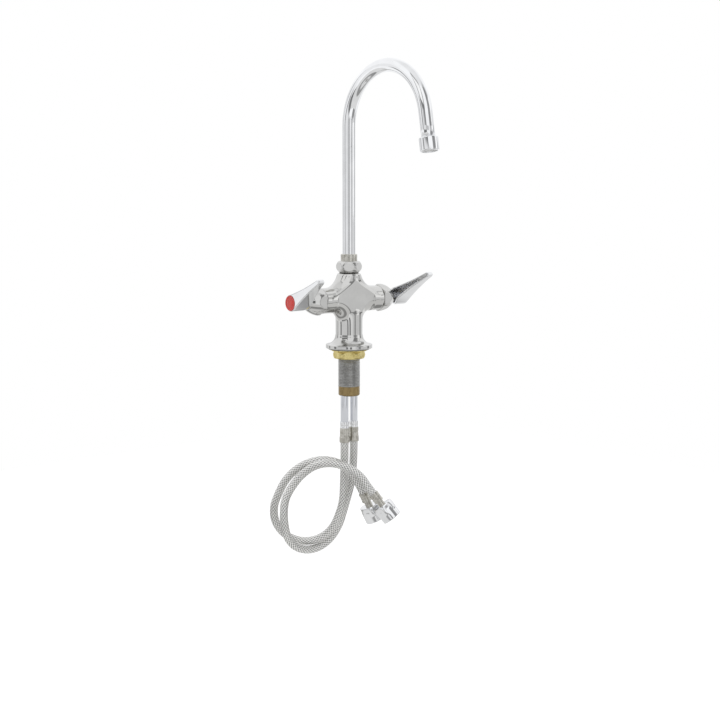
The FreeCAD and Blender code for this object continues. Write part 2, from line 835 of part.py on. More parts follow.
def makeLever(side, name):
    body = newBody(f"{name}_lever")
    start = s.armLength + s.bonnetLength + s.leverGap
    face = start + s.leverDepth
    seatFloor = face - s.buttonSeat
    headFloor = seatFloor - s.screwHead
    squareTop = headFloor - s.screwWall
    tipCentre = s.leverReach - s.leverTipRadius
    full = teardrop(s.hubRadius, s.leverTipRadius, tipCentre, s.leverWaist)
    extrude(body, "Pad", lambda sketch: drawOutline(sketch, full), start, face - start,
            f"{name}_blade")
    # the inner side slopes back from the bonnet to the tip, and under the hub
    below = start - beyond
    slope = [
        (-s.hubRadius - beyond, below),
        (s.leverReach + beyond, below),
        (s.leverReach + beyond, face - s.leverTipWidth),
        (s.leverReach, face - s.leverTipWidth),
        (s.leverRimPeak, start, -s.leverSag),
        (-s.hubRadius, start + s.leverRimDrop),
        (-s.hubRadius - beyond, start + s.leverRimDrop),
    ]
    sketch = newSketch(body, "YZ_Plane", f"{name}_slope")
    drawOutline(sketch, slope)
    cut = body.newObject("PartDesign::Pocket", f"{name}_inner_slope")
    cut.Profile = sketch
    cut.SideType = "Symmetric"
    bind(cut, "Length", s.hubRadius * 4)
    # hollow scoop open to the body
    scoop = teardrop(s.hubRadius - s.leverWall, s.leverTipRadius / 2, s.leverScoopReach, s.leverWaist / 2)
    extrude(body, "Pocket", lambda sketch: drawOutline(sketch, scoop), below,
            face - s.leverBack - below, f"{name}_scoop")
    # boss for the stem's square, the screw and the index button
    bossBottom = start + s.leverBossInset
    extrude(body, "Pad", lambda sketch: drawCircle(sketch, 0, 0, s.leverBossRadius), bossBottom,
            seatFloor - bossBottom, f"{name}_boss")
    hole = s.stemSquare + s.looseFit * 2
    extrude(body, "Pocket", lambda sketch: drawOutline(sketch, squareCorners(hole)), bossBottom,
            squareTop - bossBottom, f"{name}_square_hole")
    recess = [
        (0, squareTop - s.looseFit),
        (s.screwRadius + s.looseFit, squareTop - s.looseFit),
        (s.screwRadius + s.looseFit, headFloor),
        (s.screwHeadRadius + s.looseFit, headFloor),
        (s.screwHeadRadius + s.looseFit, seatFloor),
        (s.buttonRadius + s.looseFit, seatFloor),
        (s.buttonRadius + s.looseFit, face + beyond),
        (0, face + beyond),
    ]
    spin(body, "Groove", [recess], f"{name}_face_recess")

    def outerRim(edge):
        onFace = all(abs(vertex.Point.z - face.value) < 0.001 for vertex in edge.Vertexes)
        return onFace and not isCircle(edge, s.buttonRadius + s.looseFit, face)

    dressEdges(body, "Fillet", s.leverRound, outerRim, f"{name}_soft_rim")
    onLever(body, side)

    screw = newBody(f"{name}_lever_screw")
    outline = [
        (0, squareTop - s.screwLength + s.hardwareGap),
        (s.screwRadius, squareTop - s.screwLength + s.hardwareGap),
        (s.screwRadius, headFloor),
        (s.screwHeadRadius, headFloor),
        (s.screwHeadRadius, seatFloor - s.looseFit),
        (0, seatFloor - s.looseFit),
    ]
    spin(screw, "Revolution", [outline], f"{name}_screw_turning")
    onLever(screw, side)

    button = newBody(f"{name}_index_button")
    outline = [
        (0, seatFloor),
        (s.buttonRadius, seatFloor),
        (s.buttonRadius, seatFloor + s.buttonThickness - s.buttonCrown),
        (s.buttonRadius / 3, seatFloor + s.buttonThickness, -s.buttonCrown / 6),
        (0, seatFloor + s.buttonThickness),
    ]
    spin(button, "Revolution", [outline], f"{name}_button_turning")
    onLever(button, side)


def makeSpout():
    tube = newBody("spout_tube")
    endAcross = -s.bendRadius * (1 - s.bendAngle.cosine())
    endUp = s.springLine + s.bendRadius * s.bendAngle.sine()
    tail = s.spoutTail + s.outletEntry - s.outletGasketThickness
    bottom = s.spoutPlugBottom + s.tubeStop
    followPath(tube, "Gooseneck", "YZ_Plane", [
        (0, bottom),
        (0, s.springLine),
        (endAcross, endUp, -s.bendRadius * (1 - (s.bendAngle / 2).cosine())),
        (endAcross - tail * s.bendAngle.sine(), endUp + tail * s.bendAngle.cosine()),
    ], [s.spoutRadius, s.spoutRadius - s.spoutWall], 0, bottom)

    ferrule = newBody("spout_ferrule")
    nutTop = s.spoutNutBottom + s.spoutNutHeight
    shoulder = nutTop - s.spoutNutLip + s.looseFit
    spigotTop = s.neckTop + s.spigotTopLength
    snapBottom = spigotTop + s.hardwareGap
    snapTop = snapBottom + s.snapRingThickness
    ringRadius = s.spoutPlugRadius - s.ringGrooveDepth
    bore = s.spoutRadius + s.looseFit
    grooves = []
    for index, label in enumerate(("spout_lower_packing", "spout_upper_packing"), start=1):
        grooveBottom = s.spoutPlugBottom + s.spoutRingPitch * index - s.spoutRingInset
        grooves += [
            (s.spoutPlugRadius, grooveBottom),
            (ringRadius, grooveBottom),
            (ringRadius, grooveBottom + s.ringWidth),
            (s.spoutPlugRadius, grooveBottom + s.ringWidth),
        ]
        simpleRing(label, ringRadius, s.spoutPlugRadius + s.looseFit / 2, grooveBottom,
                   grooveBottom + s.ringWidth)
    outline = [(s.spoutRadius - s.spoutWall, s.spoutPlugBottom), (s.spoutPlugRadius, s.spoutPlugBottom)]
    outline += grooves
    outline += [
        (s.spoutPlugRadius, snapBottom),
        (s.spoutPlugRadius - s.snapGrooveDepth, snapBottom),
        (s.spoutPlugRadius - s.snapGrooveDepth, snapTop),
        (s.spoutPlugRadius, snapTop),
        (s.spoutPlugRadius, shoulder),
        (s.spoutFerruleRadius, shoulder),
        (s.spoutFerruleRadius, s.spoutFerruleTop - s.ferruleBead),
        (s.spoutFerruleRadius - s.ferruleBead, s.spoutFerruleTop),
        (bore, s.spoutFerruleTop),
        (bore, bottom),
        (s.spoutRadius - s.spoutWall, bottom),
    ]
    spin(ferrule, "Revolution", [outline], "SpoutFerruleTurning")

    snap = newBody("spout_snap_ring")
    spin(snap, "Revolution", [ringOutline(s.spoutPlugRadius - s.snapGrooveDepth, s.snapRingRadius,
                                          snapBottom, snapTop)], "SnapRingTurning")

    def gap(sketch):
        half = s.snapGap / 2
        drawOutline(sketch, [(-half, 0), (half, 0), (half, s.snapRingRadius + beyond),
                             (-half, s.snapRingRadius + beyond)])

    extrude(snap, "Pocket", gap, snapBottom, s.snapRingThickness, "SnapRingGap")
    simpleRing("spout_bearing_washer", s.spoutPlugRadius + s.looseFit, s.snapRingRadius, snapTop,
               snapTop + s.bearingThickness)


def onOutlet(body):
    # Local Z runs back up the spout from the centre of the outlet's mouth.
    reach = s.spoutTail + s.outletLength
    depth = -s.bendRadius * (1 - s.bendAngle.cosine()) - reach * s.bendAngle.sine()
    height = s.springLine + s.bendRadius * s.bendAngle.sine() + reach * s.bendAngle.cosine()
    placeAt(body, depth=depth, height=height,
            rotation=Rotation(Vector(1, 0, 0), s.bendAngle.value - 180))


def makeOutlet():
    housing = newBody("outlet_housing")
    length = s.outletLength
    shoulder = length - s.outletEntry
    bore = s.spoutRadius + s.looseFit
    mouth = s.spoutRadius - s.spoutWall
    rounding = s.outletRound * quarterRise
    outline = [
        (s.outletCavityRadius, 0),
        (s.outletRadius - s.outletRound, 0),
        (s.outletRadius, s.outletRound, -rounding),
        (s.outletRadius, length - s.outletRound),
        (s.outletRadius - s.outletRound, length, -rounding),
        (bore, length),
        (bore, shoulder),
        (mouth, shoulder),
        (mouth, s.outletCavity),
        (s.outletCavityRadius, s.outletCavity),
    ]
    spin(housing, "Revolution", [outline], "OutletHousingTurning")
    onOutlet(housing)
    onOutlet(simpleRing("outlet_gasket", mouth, s.spoutRadius, shoulder, shoulder + s.outletGasketThickness))

    discRadius = s.outletCavityRadius - s.looseFit
    insertTop = s.insertRecess + s.insertThickness
    for label, bottom, thickness, holeRadius, count in (
            ("outlet_insert", s.insertRecess, s.insertThickness, s.insertHoleRadius, 10),
            ("outlet_screen", insertTop, s.screenThickness, s.screenHoleRadius, 6)):
        disc = newBody(label)
        extrude(disc, "Pad", lambda sketch: drawCircle(sketch, 0, 0, discRadius), bottom, thickness,
                f"{label}_disc")
        hole = extrude(disc, "Pocket", lambda sketch: drawCircle(sketch, s.holeCircleRadius, 0, holeRadius),
                       bottom, thickness, f"{label}_hole")
        repeat(disc, hole, count, f"{label}_holes")
        onOutlet(disc)


# The hoses' routes: across, toward the viewer and up, in a plane turned from the body's front.
hoseTurn = math.radians(39.2)
hotRoute = [
    (-6.2, 4.8, -150.1), (-6.7, 5.4, -171.8), (-7.6, 5.7, -191.2), (-12.4, 3.6, -207.9),
    (-19.2, 0.1, -225.0), (-30.6, -1.5, -237.2), (-45.3, -1.8, -244.0), (-61.5, -1.3, -244.5),
    (-76.5, -0.1, -238.7), (-88.0, 1.6, -227.5), (-94.1, 3.6, -212.7), (-94.0, 5.2, -196.5),
    (-88.0, 6.5, -180.9), (-80.0, 8.3, -164.8), (-68.0, 10.7, -151.1), (-51.2, 13.1, -140.5),
    (-30.8, 15.0, -136.0), (-11.9, 16.3, -140.6), (3.3, 16.9, -153.6), (13.5, 16.4, -169.5),
    (21.5, 15.6, -187.5),
]
coldRoute = [
    (4.8, -5.2, -150.1), (2.4, -5.2, -170.4), (-2.2, -7.0, -188.7), (-7.2, -12.8, -207.4),
    (-12.5, -16.4, -226.8), (-22.1, -12.8, -242.7), (-36.0, -4.6, -252.7), (-51.8, 5.7, -254.4),
    (-65.6, 15.5, -248.4), (-75.5, 24.2, -235.7), (-79.1, 30.2, -219.6), (-80.7, 29.6, -201.4),
    (-79.0, 24.3, -183.8), (-70.0, 20.5, -168.3), (-58.0, 21.9, -153.2), (-41.3, 25.4, -140.9),
    (-21.1, 27.8, -137.5), (-2.3, 29.8, -142.9), (13.8, 32.6, -152.5), (24.0, 35.4, -168.0),
    (35.5, 36.6, -182.5),
]
hoseStraight = 26.0
# share of a run that a rounded corner may take
cornerShare = 0.45


def hosePoints(side, route):
    # The route in the part's own frame, led straight down from the supply tube.
    across = Vector(math.cos(hoseTurn), -math.sin(hoseTurn), 0)
    toward = Vector(-math.sin(hoseTurn), -math.cos(hoseTurn), 0)
    top = Vector((s.tubeSpacing / 2 * side).value, 0, (-s.tubeEnd - s.ferruleWall).value)
    points = [top, top - Vector(0, 0, hoseStraight)]
    return points + [across * point[0] + toward * point[1] + Vector(0, 0, point[2]) for point in route]


def roundedRoute(points):
    # Straight runs joined by tangent arcs, with the arcs' radii.
    edges = []
    radii = []
    start = points[0]
    for before, corner, after in zip(points, points[1:], points[2:]):
        back = before - corner
        ahead = after - corner
        cut = cornerShare * min(back.Length, ahead.Length)
        turn = math.pi - back.getAngle(ahead)
        radius = cut / math.tan(turn / 2)
        arcStart = corner + back.normalize() * cut
        arcEnd = corner + ahead.normalize() * cut
        inward = (arcStart + arcEnd) * 0.5 - corner
        depth = radius / math.cos(turn / 2) - radius
        middle = corner + inward.normalize() * depth
        edges.append(Part.LineSegment(start, arcStart).toShape())
        edges.append(Part.Arc(arcStart, middle, arcEnd).toShape())
        radii.append(radius)
        start = arcEnd
    edges.append(Part.LineSegment(start, points[-1]).toShape())
    return Part.Wire(edges), radii


def makeHose(side, name, route):
    points = hosePoints(side, route)
    wire, radii = roundedRoute(points)
    path = document.addObject("Part::Feature", f"{name}_hose_route")
    path.Shape = wire
    ring = document.addObject("Part::Circle", f"{name}_hose_section")
    bind(ring, "Radius", s.hoseRadius)
    ring.Placement = Placement(points[0], Rotation())
    hose = document.addObject("Part::Sweep", f"{name}_hose")
    hose.Sections = [ring]
    hose.Spine = (path, [f"Edge{index + 1}" for index in range(len(wire.Edges))])
    hose.Solid = True
    hose.Frenet = False
    document.recompute()
    expected = math.pi * s.hoseRadius.value ** 2 * wire.Length
    print(f"{name} hose: length {wire.Length:.1f}, volume ratio {hose.Shape.Volume / expected:.4f}, radii "
          + " ".join(f"{radius:.0f}" for radius in radii))
    direction = (points[-1] - points[-2]).normalize()
    return Placement(points[-1], Rotation(Vector(0, 0, 1), direction))


def makeFerrule(label, length):
    # Cup over the hose's end, open toward the hose; its closed end faces local Z.
    body = newBody(label)
    bottom = s.ferruleWall - length
    bead = s.ferruleRadius + s.ferruleBead
    outline = [
        (s.hoseRadius + s.looseFit, bottom),
        (bead, bottom),
        (bead, bottom + s.beadLength),
        (s.ferruleRadius, bottom + s.beadLength + s.ferruleBead),
        (s.ferruleRadius, s.ferruleWall - s.ferruleBead),
        (s.ferruleRadius - s.ferruleBead, s.ferruleWall),
        (s.hoseBore, s.ferruleWall),
        (s.hoseBore, 0),
        (s.hoseRadius + s.looseFit, 0),
    ]
    spin(body, "Revolution", [outline], f"{label}_turning")
    return body


def makeSupply(side, name):
    across = s.tubeSpacing / 2 * side
    portTop = s.shankEngagement + s.tubeSocket
    tubeTop = portTop - s.tubeSealThickness
    seal = simpleRing(f"{name}_tube_seal", s.tubeSealBore, s.tubeRadius, tubeTop, portTop)
    tube = simpleRing(f"{name}_supply_tube", s.tubeBore, s.tubeRadius, -s.tubeEnd, tubeTop)
    collar = newBody(f"{name}_upper_collar")
    collarTop = s.collarLength - s.tubeEnd
    outline = [
        (s.tubeRadius + s.looseFit, -s.tubeEnd),
        (s.collarRadius, -s.tubeEnd),
        (s.collarRadius, collarTop - s.ferruleBead),
        (s.collarRadius - s.ferruleBead, collarTop),
        (s.tubeRadius + s.looseFit, collarTop),
    ]
    spin(collar, "Revolution", [outline], f"{name}_collar_turning")
    for body in (seal, tube, collar):
        placeAt(body, across)
    placeAt(makeFerrule(f"{name}_upper_ferrule", s.ferruleLength), across,
            height=-s.tubeEnd - s.ferruleWall)


def makeHoseEnd(name, place):
    # Heights run out of the hose, from the end of its route.
    makeFerrule(f"{name}_lower_ferrule", s.lowerFerruleLength).Placement = place
    flangeBottom = s.ferruleWall + s.tailLength
    flangeTop = flangeBottom + s.tailFlange
    noseTop = flangeTop + s.tailNose
    tail = newBody(f"{name}_hose_tail")
    outline = [
        (s.hoseBore, s.ferruleWall),
        (s.tailRadius, s.ferruleWall),
        (s.tailRadius, flangeBottom),
        (s.tailFlangeRadius, flangeBottom),
        (s.tailFlangeRadius, flangeTop),
        (s.tailNoseRadius, flangeTop),
        (s.tailNoseRadius, noseTop - s.ferruleBead),
        (s.tailNoseRadius - s.ferruleBead, noseTop),
        (s.hoseBore, noseTop),
    ]
    spin(tail, "Revolution", [outline], f"{name}_tail_turning")
    tail.Placement = place
    washer = simpleRing(f"{name}_hose_washer", s.tailNoseRadius + s.looseFit, s.hoseWasherRadius,
                        flangeTop, flangeTop + s.hoseWasherThickness)
    washer.Placement = place

    nut = newBody(f"{name}_coupling_nut")
    bottom = flangeBottom - s.hardwareGap - s.nutBackWall
    hexTop = bottom + s.nutHex
    top = hexTop + s.nutCollar
    extrude(nut, "Pad", lambda sketch: drawOutline(sketch, regularCorners(s.nutFlats)), bottom, s.nutHex,
            f"{name}_nut_hex")
    turnCorners(nut, s.nutCorner, s.nutChamfer, bottom, hexTop, f"{name}_nut_corners")
    collar = [
        (0, hexTop),
        (s.nutCollarRadius, hexTop),
        (s.nutCollarRadius, top - s.ferruleBead),
        (s.nutCollarRadius - s.ferruleBead, top),
        (0, top),
    ]
    spin(nut, "Revolution", [collar], f"{name}_nut_collar")
    bore = [
        (0, bottom - beyond),
        (s.tailRadius + s.looseFit, bottom - beyond),
        (s.tailRadius + s.looseFit, bottom + s.nutBackWall),
        (s.nutReliefRadius, bottom + s.nutBackWall),
        (s.nutReliefRadius, flangeTop + s.hoseWasherThickness),
        (s.nutThreadRadius, flangeTop + s.hoseWasherThickness),
        (s.nutThreadRadius, top + beyond),
        (0, top + beyond),
    ]
    spin(nut, "Groove", [bore], f"{name}_nut_bore")
    nut.Placement = place


makeMixingBody()
makeShank()
makeDeckHardware()
makeSpoutNut()
makeSpout()
makeOutlet()
for side, name, route in ((-1, "hot", hotRoute), (1, "cold", coldRoute)):
    makeCartridge(side, name)
    makeBonnet(side, name)
    makeLever(side, name)
    makeSupply(side, name)
    makeHoseEnd(name, makeHose(side, name, route))
document.recompute()

for item in document.Objects:
    if "Invalid" in item.State or "Error" in item.State:
        raise RuntimeError(f"{item.Label}: {item.State}")
pieces = document.findObjects("PartDesign::Body") + document.findObjects("Part::Sweep")
os.makedirs("parts", exist_ok=True)
for piece in pieces:
    shape = piece.Shape
    if shape.isNull() or not shape.isValid() or len(shape.Solids) != 1:
        raise RuntimeError(f"{piece.Label} is not one valid solid")
    shape.exportStep(f"parts/{piece.Label}.step")
print(f"{len(pieces)} sub-parts written")
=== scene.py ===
import math
from types import SimpleNamespace

import bpy
import numpy as np
from mathutils import Matrix, Vector
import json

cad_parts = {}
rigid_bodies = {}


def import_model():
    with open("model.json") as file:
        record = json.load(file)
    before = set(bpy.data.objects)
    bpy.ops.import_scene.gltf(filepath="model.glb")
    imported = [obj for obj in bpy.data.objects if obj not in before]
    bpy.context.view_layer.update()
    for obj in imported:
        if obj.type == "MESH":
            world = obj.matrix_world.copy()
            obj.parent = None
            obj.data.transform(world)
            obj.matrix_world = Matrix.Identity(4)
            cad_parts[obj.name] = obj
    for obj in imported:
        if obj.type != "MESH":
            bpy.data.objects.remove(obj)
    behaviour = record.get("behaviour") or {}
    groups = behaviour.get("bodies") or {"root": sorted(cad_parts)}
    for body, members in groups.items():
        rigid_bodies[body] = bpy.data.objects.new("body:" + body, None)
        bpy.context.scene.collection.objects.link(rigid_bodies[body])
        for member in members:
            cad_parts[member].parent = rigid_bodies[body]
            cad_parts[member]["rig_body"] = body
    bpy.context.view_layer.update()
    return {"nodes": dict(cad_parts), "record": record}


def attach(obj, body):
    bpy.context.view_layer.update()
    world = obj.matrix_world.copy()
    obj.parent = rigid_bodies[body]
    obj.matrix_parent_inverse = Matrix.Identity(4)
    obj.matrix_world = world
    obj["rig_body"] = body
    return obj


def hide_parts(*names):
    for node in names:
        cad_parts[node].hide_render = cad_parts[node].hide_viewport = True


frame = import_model()
nodes = frame["nodes"]
mm = 0.001
print("frame loaded")


def newObject(name, data):
    item = bpy.data.objects.new(name, data)
    bpy.context.scene.collection.objects.link(item)
    return item


# ---- camera
camera = dict(
    distance=1.502,  # from the faucet's axis, level
    height=0.181,  # above the deck
    azimuth=39.2,  # to the left of the front
    yaw=0.513, pitch=7.2, lens=61.45,
)


def makeCamera():
    turn = math.radians(camera["azimuth"])
    data = bpy.data.cameras.new("photoCamera")
    data.sensor_width = 36.0
    data.sensor_fit = "HORIZONTAL"
    data.lens = camera["lens"]
    data.clip_start = 0.01
    data.clip_end = 50.0
    seen = newObject("photoCamera", data)
    seen.location = (
        -camera["distance"] * math.sin(turn),
        -camera["distance"] * math.cos(turn),
        camera["height"],
    )
    seen.rotation_euler = (
        math.radians(90 - camera["pitch"]),
        0,
        -math.radians(camera["azimuth"] + camera["yaw"]),
    )
    bpy.context.scene.camera = seen


makeCamera()


# ---- shader maths: a wrapped socket, and a tree that makes nodes
class Wire:
    def __init__(self, tree, socket):
        self.tree = tree
        self.socket = socket

    def out(self, name):
        return Wire(self.tree, self.socket.node.outputs[name])

    def math(self, operation, *values):
        return self.tree.add("Math", [self, *values], operation=operation)

    def __add__(self, other):
        return self.math("ADD", other)

    __radd__ = __add__

    def __sub__(self, other):
        return self.math("SUBTRACT", other)

    def __rsub__(self, other):
        return self.tree.add("Math", [other, self], operation="SUBTRACT")

    def __mul__(self, other):
        return self.math("MULTIPLY", other)

    __rmul__ = __mul__

    def __truediv__(self, other):
        return self.math("DIVIDE", other)

    def between(self, low, high):  # 0 to 1 as the value goes from low to high
        inputs = {"Value": self, "From Min": low, "From Max": high}
        return self.tree.add("MapRange", inputs, interpolation_type="SMOOTHSTEP")


class ShaderTree:
    def __init__(self, name):
        self.material = bpy.data.materials.new(name)
        self.material.use_nodes = True
        self.nodes = self.material.node_tree.nodes
        self.links = self.material.node_tree.links
        self.nodes.clear()
        self.output = self.nodes.new("ShaderNodeOutputMaterial")

    def feed(self, socket, value):
        if isinstance(value, Wire):
            self.links.new(value.socket, socket)
        elif isinstance(value, tuple) and len(value) == 3 and socket.type == "RGBA":
            socket.default_value = (*value, 1.0)
        else:
            socket.default_value = value

    def add(self, kind, inputs=(), **settings):
        node = self.nodes.new("ShaderNode" + kind)
        for name, value in settings.items():
            setattr(node, name, value)
        pairs = inputs.items() if isinstance(inputs, dict) else enumerate(inputs)
        for key, value in pairs:
            self.feed(node.inputs[key], value)
        shown = [socket for socket in node.outputs if socket.enabled]
        return Wire(self, shown[0])

    def place(self):  # position in the part's own frame, in metres
        return self.add("TexCoord").out("Object")

    def split(self, vector):
        across = self.add("SeparateXYZ", [vector])
        return across, across.out("Y"), across.out("Z")

    def noise(self, vector, scale, detail=3.0, roughness=0.5):
        inputs = {"Vector": vector, "Scale": scale, "Detail": detail, "Roughness": roughness}
        return self.add("TexNoise", inputs)

    def blend(self, mask, first, second):  # colours
        node = self.nodes.new("ShaderNodeMix")
        node.data_type = "RGBA"
        for key, value in ((0, mask), (6, first), (7, second)):
            self.feed(node.inputs[key], value)
        return Wire(self, node.outputs[2])

    def bump(self, height):  # height in metres
        inputs = {"Height": height, "Distance": 1.0, "Strength": 1.0}
        return self.add("Bump", inputs)

    def finish(self, colour, roughness, metallic, height, coat=0.0):
        inputs = {
            "Base Color": colour,
            "Roughness": roughness,
            "Metallic": metallic,
            "Coat Weight": coat,
            "Normal": self.bump(height),
        }
        return self.show(self.add("BsdfPrincipled", inputs))

    def show(self, shader):
        self.links.new(shader.socket, self.output.inputs["Surface"])
        return self.material

    def mirrorRays(self, rays):  # rays that metal or glass sends on
        return rays.out("Is Glossy Ray").math("MAXIMUM", rays.out("Is Transmission Ray"))


# ---- finishes; noise scales are per metre, depths in metres, ranges pick part of a noise
chromeLook = dict(
    hazeScale=55.0, hazeTint=(0.35, 0.7), hazeDull=(0.45, 0.75), hazeRough=0.02,
    deeper=0.93,  # the tint's darker side
    smudgeScale=210.0, smudgeDull=(0.62, 0.8), smudgeRough=0.05,
    scratchScale=(900.0, 900.0, 9000.0), scratchDepth=0.000004,
    waveScale=70.0, orangePeel=0.000014,
)
turnedLook = dict(
    pitch=0.00035,
    wobbleScale=500.0, wobble=3.0,
    stainScale=130.0, stainTint=(0.4, 0.72), stainRough=0.12,
    pitScale=1500.0, pitShare=(0.66, 0.74), pitDark=0.5, pitDepth=0.00003,
    ringRough=0.03, ringDepth=0.000006,
)
weaveLook = dict(
    wires=4.0,  # in each bundle
    # shade is the painted shade at the wires' edges and between the bundles
    bright=(0.96, 0.955, 0.93), shade=(0.06, 0.06, 0.057),
    wireEdge=(0.36, 0.5), wireDark=0.25, wireHeight=0.0004,
    gaps=(0.2, 0.78),
    grainScale=900.0, grainShare=(0.6, 0.9), grainDark=0.1,
    roughness=0.22, grainRough=0.16,
)
rubberLook = dict(
    grainScale=1800.0, grainDepth=0.00002, grainRough=0.2,
    roughness=0.55,
    dustScale=160.0, dustShare=(0.5, 0.8), dustCover=0.35, dustPale=0.12,
)
plasticLook = dict(
    flowScale=260.0, flowTint=(0.35, 0.75), flowRough=0.08, flowDepth=0.00002,
    deeper=0.86,
    speckScale=2400.0, speckDepth=0.000008,
    coat=0.4,
)


def scaled(colour, share, more=0.0):
    return tuple(value * share + more for value in colour)


def chrome(name, colour, roughness, peel=1.0):
    look = SimpleNamespace(**chromeLook)
    tree = ShaderTree(name)
    place = tree.place()
    haze = tree.noise(place, look.hazeScale, 4.0)
    smudge = tree.noise(place, look.smudgeScale, 5.0, 0.6)
    tint = tree.blend(haze.between(*look.hazeTint), scaled(colour, look.deeper), colour)
    dull = haze.between(*look.hazeDull) * look.hazeRough
    dull = roughness + dull + smudge.between(*look.smudgeDull) * look.smudgeRough
    drawn = tree.add("VectorMath", [place, look.scratchScale], operation="MULTIPLY")
    lines = tree.noise(drawn, 1.0, 2.0)
    waves = tree.noise(place, look.waveScale, 2.0)
    height = lines * look.scratchDepth + waves * (look.orangePeel * peel)
    return tree.finish(tint, dull, 1.0, height)


def turnedMetal(name, colour, dark, roughness):
    # lathe-turned metal: fine rings round its axis, stains and small pits
    look = SimpleNamespace(**turnedLook)
    tree = ShaderTree(name)
    place = tree.place()
    up = tree.split(place)[2]
    wobble = tree.noise(place, look.wobbleScale, 2.0)
    rings = (up * (2 * math.pi / look.pitch) + wobble * look.wobble).math("SINE")
    stain = tree.noise(place, look.stainScale, 5.0, 0.65)
    pits = tree.noise(place, look.pitScale, 2.0).between(*look.pitShare)
    tint = tree.blend(stain.between(*look.stainTint), colour, dark)
    tint = tree.blend(pits * look.pitDark, tint, scaled(dark, 0.5))
    polish = roughness + stain * look.stainRough + rings * look.ringRough
    height = rings * look.ringDepth - pits * look.pitDepth
    return tree.finish(tint, polish, 1.0, height)


def braidMetal(name):
    # woven wire: u runs round the hose, v along it, both counted in bundles
    look = SimpleNamespace(**weaveLook)
    tree = ShaderTree(name)
    around, along = tree.split(tree.add("UVMap", uv_map="UVMap"))[:2]
    over = tree.add("Attribute", attribute_name="overLeft").out("Fac")
    across = (around + along) * over + (around - along) * (1 - over)
    offCentre = ((across * look.wires).math("FRACT") - 0.5).math("ABSOLUTE")
    depth = tree.add("Attribute", attribute_name="depth").out("Fac")
    grain = tree.noise(tree.place(), look.grainScale, 3.0)
    # painted shade at each wire's edges and where a bundle runs under another; the grain adds random tone
    edges = offCentre.between(*look.wireEdge) * look.wireDark
    gaps = (1 - depth).between(*look.gaps)
    shade = edges + gaps + grain.between(*look.grainShare) * look.grainDark
    tint = tree.blend(shade.between(0.0, 1.0), look.bright, look.shade)
    height = (0.25 - offCentre * offCentre) * look.wireHeight
    return tree.finish(tint, look.roughness + grain * look.grainRough, 1.0, height)


def rubber(name, colour):
    look = SimpleNamespace(**rubberLook)
    tree = ShaderTree(name)
    place = tree.place()
    grain = tree.noise(place, look.grainScale, 4.0)
    dust = tree.noise(place, look.dustScale, 4.0).between(*look.dustShare)
    tint = tree.blend(dust * look.dustCover, colour, scaled(colour, 0.5, look.dustPale))
    dull = look.roughness + grain * look.grainRough
    return tree.finish(tint, dull, 0.0, grain * look.grainDepth)


def plastic(name, colour, roughness):
    look = SimpleNamespace(**plasticLook)
    tree = ShaderTree(name)
    place = tree.place()
    flow = tree.noise(place, look.flowScale, 3.0)
    speck = tree.noise(place, look.speckScale, 2.0)
    tint = tree.blend(flow.between(*look.flowTint), scaled(colour, look.deeper), colour)
    height = speck * look.speckDepth + flow * look.flowDepth
    return tree.finish(tint, roughness + flow * look.flowRough, 0.0, height, look.coat)


# each finish: its colours and roughness, and for chrome the strength of its orange peel
rawCast = chrome("rawCast", (0.93, 0.935, 0.95), 0.42)
supplyChrome = chrome("supplyChrome", (0.74, 0.755, 0.79), 0.03, 0.15)
tipBrass = turnedMetal("tipBrass", (0.34, 0.25, 0.12), (0.20, 0.14, 0.06), 0.28)
# painted shade: near-black metal for the thread spigots, standing for the shade in the narrow gaps under the
# bonnets and the spout nut
threadGapShade = turnedMetal("threadGapShade", (0.10, 0.095, 0.085), (0.05, 0.05, 0.045), 0.4)
stainless = turnedMetal("stainless", (0.62, 0.62, 0.61), (0.42, 0.42, 0.41), 0.24)
gasketRubber = rubber("gasketRubber", (0.10, 0.09, 0.075))
braid = braidMetal("wovenBraid")
slotFinishes = {
    "body_chrome": chrome("castChrome", (0.626, 0.622, 0.605), 0.045),
    "bright_chrome": chrome("brightChrome", (0.86, 0.865, 0.87), 0.03, 0.5),
    "tube_chrome": chrome("tubeChrome", (0.87, 0.885, 0.92), 0.03, 0.15),
    "nickel": turnedMetal("satinNickel", (0.60, 0.585, 0.535), (0.36, 0.345, 0.30), 0.13),
    "shank_grey": turnedMetal("shankGrey", (0.34, 0.34, 0.33), (0.26, 0.255, 0.245), 0.24),
    "yellow_brass": turnedMetal("yellowBrass", (0.80, 0.68, 0.30), (0.56, 0.45, 0.16), 0.2),
    "braid": stainless,
    "stainless": stainless,
    "seal_rubber": rubber("sealRubber", (0.035, 0.035, 0.037)),
    "ceramic": plastic("lappedCeramic", (0.90, 0.88, 0.82), 0.3),
    "bearing_plastic": plastic("bearingPlastic", (0.78, 0.78, 0.76), 0.4),
    "hot_red": plastic("hotRed", (0.62, 0.032, 0.021), 0.3),
    "cold_blue": plastic("coldBlue", (0.03, 0.12, 0.50), 0.22),
}
recordOf = {entry["node"]: entry for entry in frame["record"]["subparts"]}
print("finishes made")


# ---- meshes
def makePiece(node, mesh, matrix=None, finishes=None, name=None):
    # a visible piece in the place of one CAD node, with that node's body and slot
    first, *rest = node.split("_")
    name = name or first + "".join(word.capitalize() for word in rest)
    verts, faces = mesh[:2]
    normals = mesh[2] if len(mesh) == 3 else None
    if matrix is not None:
        verts = placed(verts, matrix)
        if normals is not None:
            normals = normals @ np.array(matrix)[:3, :3].T
    slot = recordOf[node]["material_slot"]
    data = bpy.data.meshes.new(name)
    data.from_pydata([tuple(point) for point in verts], [], faces)
    data.validate()
    data.polygons.foreach_set("use_smooth", [True] * len(data.polygons))
    if normals is not None:
        data.normals_split_custom_set_from_vertices([tuple(normal) for normal in normals])
    for item in finishes or [slotFinishes[slot]]:
        data.materials.append(item)
    piece = newObject(name, data)
    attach(piece, nodes[node]["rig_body"])
    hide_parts(node)
    return piece


